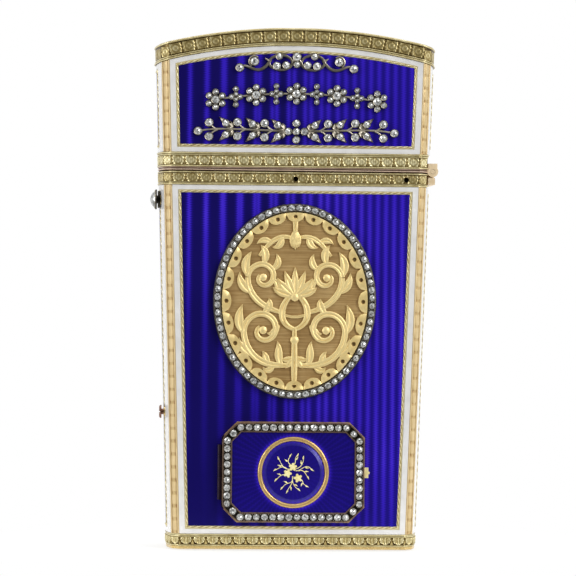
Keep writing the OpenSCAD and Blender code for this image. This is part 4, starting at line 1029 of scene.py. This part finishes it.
def ellipse_walk(a, b, n, shift=0.5):
    """Points spaced evenly along an ellipse, with the way out at each."""
    turns = [tau * k / ARC_STEPS for k in range(ARC_STEPS + 1)]
    fine = [(a * cos(t), b * sin(t)) for t in turns]
    run = [0.0]
    for p, q in zip(fine, fine[1:]):
        run.append(run[-1] + dist(p, q))
    out, j = [], 0
    for k in range(n):
        s = run[-1] * (k + shift) / n
        while run[j + 1] < s:
            j += 1
        f = (s - run[j]) / (run[j + 1] - run[j])
        (x0, z0), (x1, z1) = fine[j], fine[j + 1]
        x, z = x0 + (x1 - x0) * f, z0 + (z1 - z0) * f
        nx, nz = x / a ** 2, z / b ** 2
        d = hypot(nx, nz)
        out.append(((x, z), (nx / d, nz / d)))
    return out


def oval():
    """Silver frame of the medallion, with stones in their cups and grains between them."""
    front = -HALF_D - FIT
    s, stones = Shape(), Shape()
    ring = ellipse_walk(OVAL_A, OVAL_B, OVAL_STEPS, 0.0)
    rows = [[(x - nx * OVAL_W * f, front - OVAL_T * h, OVAL_Z + z - nz * OVAL_W * f)
             for (x, z), (nx, nz) in ring] for f, h, _ in CHANNEL]
    s.grid(rows, [t for _, _, t in CHANNEL], closed_rows=True, closed_cols=True)
    middle = (OVAL_A - OVAL_W / 2, OVAL_B - OVAL_W / 2, OVAL_STONES)
    for (x, z), _ in ellipse_walk(*middle):
        c = (x, front - OVAL_SEAT, OVAL_Z + z)
        rose_cut(stones, c, OVAL_STONE_R * RNG.uniform(0.93, 1.05), h=0.52, seat=0.05)
        collet(s, c, 0.6, h=0.2, wall=0.08, flare=0.02)
    for (x, z), (nx, nz) in ellipse_walk(*middle, 0.0):
        for d in (-0.46, 0.46):
            bead(s, (x + nx * d, front - 0.86, OVAL_Z + z + nz * d), GRAIN_R, squash=0.8)
    s.build("oval_frame_set", "case", silver, "silver", ["oval_frame"], 40)
    stones.build("oval_rose_stones", "case", stone, "diamond", ["oval_diamonds"], 1)


def scallop_edge(s, a, b, y0, h):
    """Gold edge of the openwork: lobes, each pierced with a round hole."""
    half = pi / SCALLOPS
    for turn in angles(SCALLOPS):
        mid = pi / 2 + turn
        cx, cz = (a - SCALLOP_MID) * cos(mid), (b - SCALLOP_MID) * sin(mid)
        line = []
        for j in range(13):
            t = mid + half * (j / 6 - 1)
            line.append((a * cos(t), b * sin(t)))
        for j in range(13):
            f = 1 - j / 6
            t = mid + half * f
            depth = 0.35 + 1.3 * sqrt(max(0.0, 1 - f * f))
            line.append(((a - depth) * cos(t), (b - depth) * sin(t)))
        rows = [[(cx + (x - cx) * k, y0 - h * up, OVAL_Z + cz + (z - cz) * k) for x, z in line]
                for k, up in ((1.0, 0.0), (1.0, 0.82), (0.965, 1.0))]
        for k, up in ((1.3, 1.0), (1.0, 0.9), (0.98, 0.0)):
            row = []
            for x, z in line:
                d = hypot(x - cx, z - cz)
                row.append((cx + (x - cx) / d * SCALLOP_HOLE * k, y0 - h * up,
                            OVAL_Z + cz + (z - cz) / d * SCALLOP_HOLE * k))
            rows.append(row)
        # The tones paint a highlight on the top of each lobe, and shade down its sides and inside
        # its hole.
        s.grid(rows, [0.1, 0.6, 0.95, 0.85, 0.15, 0.0], closed_rows=True, closed_cols=True)


def arabesque():
    """Lines of the openwork, each as points, two widths and a swell."""
    out = []

    def line(p, w0, w1, swell=0.0):
        out.append((p, w0, w1, swell))

    def pair(p, w0, w1, swell):
        line(p, w0, w1, swell)
        line(mirror_x(p), w0, w1, swell)

    def leaf(*p, w):
        pair(bezier(p, 14), 0.45, 0.08, w)

    line([(0, -15.5), (0, -14), (0, -12.5), (0, -11), (0, -9), (0, -7), (0, -5)], 0.8, 0.7, 0.35)
    for k in range(-3, 4):
        p = bezier([(0, 0), (0.1 * k, 1.8), (0.25 * k, 3.4), (0.1 * k, 5.6 - 0.35 * abs(k))])
        line(turned(p, -k * 21, (0, 0.8)), 0.4, 0.1, 1.05)
    pair(bezier([(0, -5.2), (3.4, -4.2), (2.9, -0.6), (0.7, 1.1)], 18), 0.7, 0.8, 0.35)
    line([(-1.9, -2.6), (-0.6, -2.9), (0.6, -2.9), (1.9, -2.6)], 0.5, 0.5)
    for k in range(-2, 3):
        p = bezier([(0, 0), (0.1 * k, 1.0), (0.2 * k, 1.9), (0.5 * k, 2.8 - 0.2 * abs(k))])
        line(turned(p, 180 - k * 30, (0, -10.4)), 0.35, 0.1, 0.75)
        q = bezier([(0, 0), (0.12 * k, 1.3), (0.3 * k, 2.4), (0.5 * k, 3.7 - 0.3 * abs(k))])
        line(turned(q, 180 + k * 15, (0, 13.3)), 0.35, 0.12, 0.8)
    line([(0, 15.5), (0, 14), (0, 12.9)], 1.0, 0.7)
    pair(bezier([(0.2, -11.6), (4.4, -12.6), (9.4, -11.2), (9.75, -5.6)], 22), 0.7, 1.0, 0.3)
    pair(spiral((6.05, -5.4), 3.7, 0.85, -4, 405, 48), 1.0, 0.6, 0.2)
    leaf((8.2, -10.2), (9.0, -9.2), (10.4, -9.2), (10.6, -6.8), w=1.2)
    leaf((9.7, -6.0), (10.9, -4.6), (11.0, -2.6), (10.0, -0.6), w=1.3)
    leaf((4.4, -11.9), (5.8, -11.2), (5.2, -9.9), (6.2, -9.3), w=0.9)
    leaf((2.2, -11.9), (3.6, -10.8), (2.6, -9.0), (3.3, -7.4), w=1.1)
    leaf((4.0, -12.0), (4.4, -12.9), (5.6, -13.2), (6.0, -12.2), w=0.8)
    leaf((6.1, -2.4), (5.0, -1.4), (4.6, -0.4), (5.0, 0.5), w=1.1)
    leaf((3.0, -4.4), (3.6, -5.4), (4.2, -6.4), (5.3, -5.9), w=0.9)
    pair(bezier([(1.8, -2.2), (5.2, -1.6), (9.0, 0.2), (9.05, 4.4)], 20), 0.6, 0.9, 0.3)
    pair(spiral((6.1, 4.4), 2.95, 0.75, 2, 390, 40), 0.9, 0.55, 0.2)
    leaf((8.4, 1.6), (9.6, 2.2), (10.8, 3.4), (10.6, 5.4), w=1.2)
    leaf((9.0, 4.6), (9.9, 6.2), (9.6, 7.6), (8.4, 9.2), w=1.2)
    leaf((6.2, 6.7), (5.4, 8.2), (5.6, 9.4), (6.6, 10.4), w=1.1)
    leaf((4.7, 6.0), (3.2, 6.2), (2.9, 7.6), (3.6, 8.8), w=0.9)
    leaf((4.3, 4.1), (3.2, 3.6), (2.9, 2.2), (3.9, 1.6), w=0.8)
    pair(bezier([(0.2, 11.6), (2.6, 12.6), (4.6, 11.6), (6.9, 8.4)], 16), 0.5, 0.5, 0.35)
    leaf((2.6, 12.0), (2.4, 10.8), (3.2, 9.9), (4.4, 10.0), w=0.9)
    leaf((4.6, 11.0), (5.6, 11.4), (6.4, 11.6), (7.4, 10.6), w=0.8)
    return out


def openwork():
    """Pierced gold over the ground: a scalloped edge, an arabesque, and grains on it."""
    s = Shape()
    a, b = OVAL_A - OVAL_W - 2 * FIT, OVAL_B - OVAL_W - 2 * FIT
    y0, h = -HALF_D - OVAL_PLATE_T - 2 * FIT, OPENWORK_T
    scallop_edge(s, a, b, y0, h)
    fx, fz = 0.9 * a / ARABESQUE_A, 0.92 * b / ARABESQUE_B
    for k, (p, w0, w1, swell) in enumerate(arabesque()):
        p = [(x * fx, z * fz) for x, z in p]
        ribbon(s, p, w0, w1, swell, y0, h * (0.995 - 0.005 * k), FLAT, OVAL_Z)
    for x, z, r in ((0, -7.2, 0.8), (0, 0.8, 0.8), (6.05, -5.4, 0.75), (-6.05, -5.4, 0.75),
                    (6.1, 4.4, 0.7), (-6.1, 4.4, 0.7)):
        bead(s, (x * fx, y0 - 0.12, OVAL_Z + z * fz), r, squash=0.5)
    s.build("oval_openwork_chased", "case", openwork_gold, "gold", ["oval_openwork"], 50)


oval()
openwork()

# Stones of the lid's ornament: [x, z, radius]
SCROLL = [(0, 1.55, 0.7), (0, 0.25, 0.54)] + [
    (s * x, z, r) for x, z, r in ((1.85, 0.1, 0.62), (3.48, -0.05, 0.66), (3.08, 1.62, 0.56),
                                  (7.32, 0.72, 0.72), (9.88, -0.4, 0.68)) for s in (-1, 1)]
ROSETTE = [(0, 0, 0.72)] + [(1.32 * cos(a), 1.32 * sin(a), 0.5)
                            for a in (radians(60 * k + 30) for k in range(6))]
LOZENGE = [(0, 1.35, 0.42), (0, -1.35, 0.42), (0.75, 0, 0.42), (-0.75, 0, 0.42), (0, 0.45, 0.36),
           (0, -0.45, 0.36)]
GARLAND_STEP, GARLAND_HALF = 3.5, 14
SPRAY_CENTRE = [(0, 0, 0.58), (0, 1.42, 0.6), (0, -1.42, 0.6), (1.4, 0, 0.6), (-1.4, 0, 0.6)]
SPRAY_X = (3.24, 5.5, 7.6, 10.2, 12.2, 15.1)
SPRAY_STEM = [(0, 0), (3, 0.08), (5.7, 0.17), (9, 0.28), (12.4, 0.34), (14, 0.3), (15.5, 0.16),
              (17, -0.1)]


def spray_stem(x):
    """Height of the spray's stem at a distance from the middle."""
    for (x0, z0), (x1, z1) in zip(SPRAY_STEM, SPRAY_STEM[1:]):
        if x <= x1:
            return z0 + (z1 - z0) * (x - x0) / (x1 - x0)
    return SPRAY_STEM[-1][1]


def garland_dz(x):
    return sqrt(GARLAND_R ** 2 - x * x) - GARLAND_R


def set_row(name, lines, stones, z0, hide_metal, hide_stones):
    """Silver wires and collets with their stones, on the lid's front."""
    y0, t = -HALF_D - FIT, 0.5
    s, st = Shape(), Shape()
    for p, w0, w1, swell, section in lines:
        ribbon(s, p, w0, w1, swell, y0, 0.8 * t, section, z0)
    for x, z, r in stones:
        collet(s, (x, y0, z0 + z), r * 0.94, h=t + 0.1, wall=0.13, flare=0.03)
        rose_cut(st, (x, y0 - t + 0.08, z0 + z), r * 0.92, h=0.5, seat=0.2)
    s.build(name, "lid", silver, "silver", [hide_metal], 40)
    st.build(name + "_stones", "lid", stone, "diamond", [hide_stones], 1)


def lid_ornament():
    """Scroll, middle row and leaf spray of the lid."""
    lines = []

    def pair(p, w0, w1, swell=0.0, section=WIRE):
        lines.append((p, w0, w1, swell, section))
        lines.append((mirror_x(p), w0, w1, swell, section))

    loop = [(2.79 + 2.0 * cos(a), 0.56 + 1.28 * sin(a))
            for a in (radians(10 * k) for k in range(37))]
    pair(loop, 0.5, 0.5)
    pair(bezier([(4.5, 1.0), (5.6, -0.6), (6.3, -1.1), (7.9, -0.45)]), 0.5, 0.5, 0.1)
    pair(bezier([(7.9, -0.45), (8.5, -0.2), (8.9, 0.15), (9.5, -0.2)]), 0.5, 0.4)
    pair(spiral((7.32, 0.72), 0.95, 0.9, -60, 130, 16), 0.42, 0.3)
    pair([(4.6, 0.75), (5.0, 0.95), (5.5, 1.3)], 0.4, 0.12, 0.15)
    pair([(0.2, 1.3), (0.5, 0.95), (0.85, 0.6)], 0.4, 0.4)
    set_row("lid_scroll_set", lines, SCROLL, SCROLL_Z, "lid_scroll", "scroll_diamonds")

    stones = []
    for k in range(-4, 5):
        x = GARLAND_STEP * k
        for dx, dz, r in ROSETTE if k % 2 == 0 else LOZENGE:
            stones.append((x + dx, garland_dz(x) + dz, r))
    chain = [(x, garland_dz(x)) for x in (GARLAND_HALF * k / 16 for k in range(-16, 17))]
    set_row("lid_garland_set", [(chain, 0.4, 0.4, 0.0, WIRE)], stones, GARLAND_Z,
            "lid_garland", "garland_diamonds")

    lines = []
    pair(SPRAY_STEM, 0.5, 0.36)
    stones = list(SPRAY_CENTRE)
    for k, x in enumerate(SPRAY_X):
        z = spray_stem(x)
        for u in (-1, 1):
            if k % 2 == 0:
                pair(bezier([(x - 1.1, z), (x - 0.7, z + 0.5 * u), (x + 0.2, z + 1.2 * u),
                             (x + 1.15, z + 2.05 * u)]), 0.3, 0.1, 1.0, RIB)
                pair(bezier([(x - 0.9, z), (x - 1.2, z + 0.5 * u), (x - 1.2, z + 0.8 * u),
                             (x - 0.75, z + 1.35 * u)]), 0.25, 0.1, 0.55, RIB)
            else:
                pair(bezier([(x - 1.5, z), (x - 0.9, z + 0.2 * u), (x - 0.4, z + 0.6 * u),
                             (x, z + 1.2 * u)]), 0.34, 0.3)
            rise, r = (1.0, 0.58) if k % 2 == 0 else (1.2, 0.68)
            stones += [(s * x, z + u * rise, r) for s in (-1, 1)]
    stones += [(s * 17.0, -0.1, 0.66) for s in (-1, 1)]
    set_row("lid_spray_set", lines, stones, SPRAY_Z, "lid_spray", "spray_diamonds")


lid_ornament()

# Frame of the watch's cover: points [inwards, up] of its lips, and [inwards, up, tone] of its bed
OUTER_LIP = [(0.0, 0.0), (0.0, 0.8), (0.05, 1.0), (0.13, 1.0), (0.15, 0.5)]
INNER_LIP = [(0.85, 0.5), (0.88, 1.0), (0.95, 1.0), (1.0, 0.8), (1.0, 0.0)]
FRAME_BED = [(0.12, 0.6, 0.12), (0.2, 0.62, 0.25), (0.5, 0.55, 0.12), (0.8, 0.62, 0.25),
             (0.88, 0.6, 0.12)]
FRAME_STONES = (14, 1, 9, 1, 14, 1, 9, 1)
FRAME_T, FRAME_STONE_R = 0.6, 0.59
RING_HALF, RING_T = 0.39, 0.62
COVER_FACE = COVER_Y - PLATE_T - FIT
SPRAY_FACE = COVER_Y - PLATE_T - ROUNDEL_T - 2 * FIT
FLOWERS = ((-0.1, 0.95, 0.74), (-1.0, -0.15, 0.76), (0.8, -0.95, 0.8))
SPRIGS = [[(-0.6, 0.6), (-1.7, 0.5), (-2.0, 1.3), (-2.4, 2.1)],
          [(-1.2, 0.7), (-1.6, 1.2), (-2.3, 0.9), (-2.8, 0.6)],
          [(-0.1, 1.2), (-0.9, 1.3), (-1.1, 2.1), (-0.7, 2.6)],
          [(0.1, 1.4), (0.6, 1.9), (0.1, 2.2), (0.45, 2.7)],
          [(0.2, 0.6), (1.3, 0.8), (1.6, 1.5), (1.7, 2.2)],
          [(0.4, 0.3), (1.6, 0.4), (2.0, 1.6), (2.9, 0.8)],
          [(0.9, 0.3), (1.6, 0.6), (2.0, 0.1), (2.3, -0.5)],
          [(1.2, -1.2), (1.8, -1.2), (1.5, -1.9), (2.0, -2.1)],
          [(-0.1, -0.6), (-0.3, -1.6), (0.1, -2.3), (0.6, -2.7)],
          [(-0.15, -1.3), (-0.3, -2.0), (-1.2, -1.6), (-1.7, -2.4)],
          [(-0.2, -1.5), (-0.2, -2.0), (-0.6, -2.4), (-0.9, -2.9)],
          [(-1.3, -0.5), (-1.7, -0.2), (-2.2, -0.4), (-2.7, -1.0)]]


def octagon(d):
    """Outline of the cover at an inset."""
    w, h, c = COVER_W / 2 - d, COVER_H / 2 - d, COVER_CUT - d * (2 - ROOT2)
    return [(-w + c, -h), (w - c, -h), (w, -h + c), (w, h - c),
            (w - c, h), (-w + c, h), (-w, h - c), (-w, -h + c)]


def rounded(pts, reach):
    """A closed outline with its corners eased over the given reach, four points to a corner."""
    out = []
    for k, p in enumerate(pts):
        ends = []
        for q in (pts[k - 1], pts[(k + 1) % len(pts)]):
            f = reach / hypot(q[0] - p[0], q[1] - p[1])
            ends.append([p[c] + (q[c] - p[c]) * f for c in (0, 1)])
        a, b = ends
        out += [tuple(a[c] * (1 - t) ** 2 + 2 * p[c] * t * (1 - t) + b[c] * t * t for c in (0, 1))
                for t in (0, 1 / 3, 2 / 3, 1)]
    return out


def frame_row(f, h):
    """Points round the cover's frame at a share of its width and height."""
    line = rounded(octagon(f * COVER_FRAME), 0.9 * (1 - f) + 0.02)
    return [(x, COVER_FACE - FRAME_T * h, COVER_Z + z) for x, z in line]


def cover_frame():
    """Frame of the cover: two lips, and a silver bed with stones in their cups and grains."""
    for name, lip in (("cover_frame_outer_lip", OUTER_LIP), ("cover_frame_inner_lip", INNER_LIP)):
        edge = Shape()
        edge.grid([frame_row(f, h) for f, h in lip], closed_cols=True)
        edge.build(name, "watch_cover", edge_gold, "pink_gold", (), 40)
    s, stones = Shape(), Shape()
    s.grid([frame_row(f, h) for f, h, _ in FRAME_BED], [t for _, _, t in FRAME_BED],
           closed_cols=True)
    mid = octagon(COVER_FRAME / 2)
    for side, n in enumerate(FRAME_STONES):
        (ax, az), (bx, bz) = mid[side], mid[(side + 1) % 8]
        d = hypot(bx - ax, bz - az)
        nx, nz = (bz - az) / d, -(bx - ax) / d
        for k in range(n):
            f = (k + 0.16) / (n - 0.68) if n > 1 else 0.5
            x, z = ax + (bx - ax) * f, COVER_Z + az + (bz - az) * f
            r = FRAME_STONE_R * RNG.uniform(0.92, 1.05)
            rose_cut(stones, (x, COVER_FACE - 0.36, z), r, h=0.5, seat=0.03)
            collet(s, (x, COVER_FACE - 0.33, z), 0.57, h=0.18, wall=0.08, flare=0.02)
            if k < n - 1:
                f = (k + 0.66) / (n - 0.68)
                x, z = ax + (bx - ax) * f, COVER_Z + az + (bz - az) * f
                for e in (-0.5, 0.5):
                    bead(s, (x + nx * e, COVER_FACE - 0.52, z + nz * e), GRAIN_R, squash=0.8)
    s.build("cover_frame_set", "watch_cover", silver, "silver", ["cover_frame"], 40)
    stones.build("cover_rose_stones", "watch_cover", stone, "diamond", ["cover_diamonds"], 1)


def cover_ring():
    """Half-round gold ring between the rays and the roundel."""
    s, rows = Shape(), []
    for a in angles(96):
        row = []
        for t in (pi * j / 10 for j in range(11)):
            r = RING_R - 0.4 + RING_HALF * cos(t)
            up = RING_T * min(1.0, 1.25 * sin(t)) ** 0.7
            row.append((r * cos(a), COVER_FACE - up, COVER_Z + r * sin(a)))
        rows.append(row)
    s.grid(rows, closed_rows=True)
    s.build("cover_ring_round", "watch_cover", ring_gold, "gold", ["cover_ring"], 60)


def cover_spray():
    """Three flowers, and sprigs with two leaves each, on the roundel."""
    s = Shape()
    for x, z, r in FLOWERS:
        for k in range(5):
            p = turned([(0, 0.1), (0, 0.45 * r), (0, 0.95 * r)], 72 * k + 20 * x, (x, z))
            ribbon(s, p, 0.2, 0.28, 0.42 * r, SPRAY_FACE, 0.1, RIB, COVER_Z)
        bead(s, (x, SPRAY_FACE - 0.05, COVER_Z + z), 0.2 * r, squash=0.8)
    for n, p in enumerate(SPRIGS):
        q = bezier(p)
        ribbon(s, q, 0.14, 0.1, 0.0, SPRAY_FACE, 0.07, WIRE, COVER_Z)
        turn = 1 if n % 2 else -1
        for k, side in ((7, -40 * turn), (12, 0)):
            (x0, z0), (x, z) = q[k - 1], q[k]
            ang = degrees(atan2(z - z0, x - x0)) - 90
            leaf = turned([(0, 0), (0.08 * turn, 0.34), (0.04 * turn, 0.78)], ang + side, (x, z))
            ribbon(s, leaf, 0.08, 0.05, 0.22, SPRAY_FACE, 0.1, RIB, COVER_Z)
    s.build("cover_spray_chased", "watch_cover", pale_gold, "gold", ["cover_spray"], 60)


cover_frame()
cover_ring()
cover_spray()

# Push-piece of the lid, on the left side: points [radius, out, tone]
PUSH_X = bow_drop(PUSH_Y) - side_x(PUSH_Z)
PUSH_RIM, PUSH_END, PUSH_STEPS = 0.56, 0.9, 40
PUSH_COLLET = [(0.7, -2.4, 0.4), (0.7, PUSH_RIM + 0.22, 0.1), (1.56, PUSH_RIM + 0.22, 0.1),
               (1.6, PUSH_RIM, 0.1), (1.68, PUSH_RIM, 0.1), (1.75, PUSH_RIM + 0.08, 0.25),
               (1.75, PUSH_END - 0.14, 0.35), (1.66, PUSH_END, 0.8), (1.52, PUSH_END, 0.6),
               (1.46, PUSH_END - 0.1, 0.1)]
PUSH_COLLAR = [(1.5, -0.05, 0.0), (1.5, 0.36, 0.15), (1.44, 0.42, 0.3), (0.86, 0.42, 0.2),
               (0.8, 0.36, 0.1), (0.8, -0.05, 0.0)]
PUSH_TIERS = [(1.5, 0.8), (1.47, 0.92), (1.22, 1.26), (0.84, 1.52), (0.42, 1.68)]
PUSH_GRAINS, PUSH_FACETS = 8, 10


def push_point(r, a, up):
    return (PUSH_X - up, PUSH_Y + r * cos(a), PUSH_Z + r * sin(a))


def push_turning(shape, profile, flute):
    """Piece turned on the push-piece's axis; flute is the depth of the flutes on its wide parts."""
    rows = []
    for a in angles(PUSH_STEPS):
        wide = 1 + flute * cos(10 * a)
        rows.append([push_point(r * (wide if r > 1.3 else 1), a, up) for r, up, _ in profile])
    shape.grid(rows, [[t for _, _, t in profile]] * PUSH_STEPS, closed_rows=True)


def pushes():
    """Collet of the push-piece with its stone, and the collar that guides it."""
    s, st, collar = Shape(), Shape(), Shape()
    push_turning(s, PUSH_COLLET, 0.035)
    for k in range(PUSH_GRAINS):
        a = tau * (k + 0.5) / PUSH_GRAINS
        bead(s, push_point(1.5, a, PUSH_END - 0.02), 0.15, squash=1.0, axis=(-1, 0, 0))
    rings = []
    for j, (r, up) in enumerate(PUSH_TIERS):
        turns = [tau * (k + 0.5 * (j % 2)) / PUSH_FACETS for k in range(PUSH_FACETS)]
        rings.append([Vector(push_point(r, a, up)) for a in turns])
    top = Vector((PUSH_X - 1.74, PUSH_Y, PUSH_Z))
    for j, ring in enumerate(rings):
        for k in range(PUSH_FACETS):
            after = (k + 1) % PUSH_FACETS
            a, b = ring[k], ring[after]
            if j == len(rings) - 1:
                facets = [(a, b, top)]
            else:
                c, d = rings[j + 1][k], rings[j + 1][after]
                facets = [(a, b, d), (a, d, c)] if j % 2 else [(a, b, c), (b, d, c)]
            # Each facet takes a random tone, which the stone's material paints as a glint or a dark
            # facet.
            for t in facets:
                st.add(t, [(0, 1, 2)], RNG.uniform(0, 1))
    push_turning(collar, PUSH_COLLAR, 0.0)
    collar.build("push_guide_collar", "case", silver, "silver", (), 40)
    s.build("push_piece_collet", "lid_push_piece", silver, "silver", ["push_piece"], 40)
    st.build("push_piece_stone", "lid_push_piece", stone, "diamond", ["push_diamond"], 1)


pushes()

# Numerals of the dial: the width of a letter, and its strokes [from, to, width]
STROKES = {"I": (0.2, [((0, -0.5), (0, 0.5), 0.12)]),
           "V": (0.5, [((-0.2, 0.5), (0, -0.5), 0.13), ((0.2, 0.5), (0, -0.5), 0.06)]),
           "X": (0.5, [((-0.2, 0.5), (0.2, -0.5), 0.13), ((0.2, 0.5), (-0.2, -0.5), 0.06)])}
HOURS = ("XII", "I", "II", "III", "IV", "V", "VI", "VII", "VIII", "IX", "X", "XI")
HOUR_R, TRACK_R = 4.35, (5.32, 5.72)
TICK_FROM, TICK_TO, HOUR_TICK_TO = 5.35, 5.7, 5.85
MARK_Y = MAT_Y + MAT_T + FIT - 0.012
BAR_FACES = [(0, 1, 2, 3), (4, 7, 6, 5), (0, 4, 5, 1), (1, 5, 6, 2), (2, 6, 7, 3), (3, 7, 4, 0)]


def dial_marks():
    """Roman hour numerals and a minute track, raised a hair over the enamel."""
    s = Shape()

    def bar(p, q, w):
        d = dist(p, q)
        nx, nz = (q[1] - p[1]) / d * w / 2, -(q[0] - p[0]) / d * w / 2
        pts = [(p[0] + nx, p[1] + nz), (p[0] - nx, p[1] - nz),
               (q[0] - nx, q[1] - nz), (q[0] + nx, q[1] + nz)]
        s.add([(x, y, COVER_Z + z) for y in (MARK_Y, MARK_Y + 0.03) for x, z in pts], BAR_FACES)

    for h, word in enumerate(HOURS):
        pen = -sum(STROKES[ch][0] for ch in word) / 2
        for ch in word:
            w, segs = STROKES[ch]
            for *ends, t in segs:
                a, b = turned([(pen + w / 2 + x, HOUR_R + z) for x, z in ends], -30 * h)
                bar(a, b, t)
            pen += w
    for k in range(60):
        a, b = turned([(0, TICK_FROM), (0, TICK_TO if k % 5 else HOUR_TICK_TO)], -6 * k)
        bar(a, b, 0.07 if k % 5 else 0.16)
    for r in TRACK_R:
        rows = [[(q * sin(t), MARK_Y, COVER_Z + q * cos(t))
                 for q in (r - 0.02, r + 0.02)] for t in angles(120)]
        s.grid(rows, closed_rows=True)
    s.build("dial_marks", "case", ink, "dial_enamel", (), 30)


dial_marks()


def floor_paper():
    """White paper that stays white to the eye, and takes a shadow close to the case."""
    m = Mat("floor_paper")
    m.colour(m.noise(0.01, 2.0), [(0.3, 250, 250, 249), (0.7, 254, 254, 253)])
    m.set(Roughness=0.9)
    x, y, _ = m.split(m.node("ShaderNodeNewGeometry").outputs["Position"])
    far = ((m.math("SQRT", x ** 2.0 + y ** 2.0) - 0.025) * 30.0).clamp()
    path = m.node("ShaderNodeLightPath")
    indirect = m.math("MAXIMUM", path.outputs["Is Glossy Ray"], path.outputs["Is Transmission Ray"])
    seen = m.math("MAXIMUM", path.outputs["Is Camera Ray"], indirect)
    emit = m.node("ShaderNodeEmission", {"Strength": 1.0})
    mix = m.node("ShaderNodeMixShader", {0: seen * (far * 0.3 + 0.7), 1: m.bsdf.outputs[0],
                                         2: emit.outputs[0]})
    m.link(mix.outputs[0], m.nt.nodes["Material Output"].inputs["Surface"])
    return m.mat


def studio_world():
    """White to the eye; its light comes from all sides but the front."""
    world = bpy.data.worlds.new("studio")
    bpy.context.scene.world = world
    world.use_nodes = True
    n = Nodes(world.node_tree)
    _, y, _ = n.split(n.node("ShaderNodeTexCoord").outputs["Generated"])
    light = n.node("ShaderNodeMapRange", {"Value": y, "From Min": -0.98, "From Max": -0.5,
                                          "To Min": 0.05, "To Max": 0.85},
                   interpolation_type="SMOOTHSTEP")
    path = n.node("ShaderNodeLightPath")
    strength = n.math("MAXIMUM", path.outputs["Is Camera Ray"], light.outputs["Result"])
    bg = n.nt.nodes["Background"]
    bg.inputs["Color"].default_value = (1, 1, 1, 1)
    n.link(strength, bg.inputs["Strength"])


def area(name, loc, size, power):
    """Rectangular light that faces the middle of the case."""
    d = bpy.data.lights.new(name, "AREA")
    d.shape = "RECTANGLE"
    d.size, d.size_y = size
    d.energy = power
    o = bpy.data.objects.new(name, d)
    o.location = loc
    o.rotation_euler = (Vector((0, 0, 0.045)) - Vector(loc)).to_track_quat("-Z", "Y").to_euler()
    bpy.context.scene.collection.objects.link(o)


def studio():
    """Paper under and behind the case, the world and three lights."""
    mesh = bpy.data.meshes.new("floor")
    size, near, z = 1.5, -0.03, -0.0002
    mesh.from_pydata([(-size, near, z), (size, near, z), (size, size, z), (-size, size, z)],
                     [], [(0, 1, 2, 3)])
    floor = bpy.data.objects.new("floor", mesh)
    bpy.context.scene.collection.objects.link(floor)
    mesh.materials.append(floor_paper())
    studio_world()
    area("key_right", (0.42, -0.42, 0.32), (0.25, 0.4), 2.35)
    area("fill_left", (-0.5, -0.3, 0.2), (0.2, 0.4), 1.15)
    area("top", (0, 0.05, 0.6), (0.5, 0.3), 1.5)


def camera():
    """Camera a little left of the front, framed on the case."""
    d = bpy.data.cameras.new("camera")
    o = bpy.data.objects.new("camera", d)
    bpy.context.scene.collection.objects.link(o)
    away, yaw, roll = 0.52, radians(-3.0), radians(0.55)
    face, width, sensor = 0.0072, 0.0996, 36.0
    target = Vector((-0.0008, 0.0, 0.0452))
    back = Vector((sin(yaw), -cos(yaw), 0.0))
    o.location = target + back * away
    o.rotation_mode = "QUATERNION"
    o.rotation_quaternion = Quaternion(back, roll) @ (-back).to_track_quat("-Z", "Y")
    d.sensor_width = sensor
    d.lens = sensor * (away - face) / width
    d.clip_start, d.clip_end = 0.01, 10.0
    bpy.context.scene.camera = o


studio()
camera()

bpy.context.scene.view_settings.view_transform = "Standard"
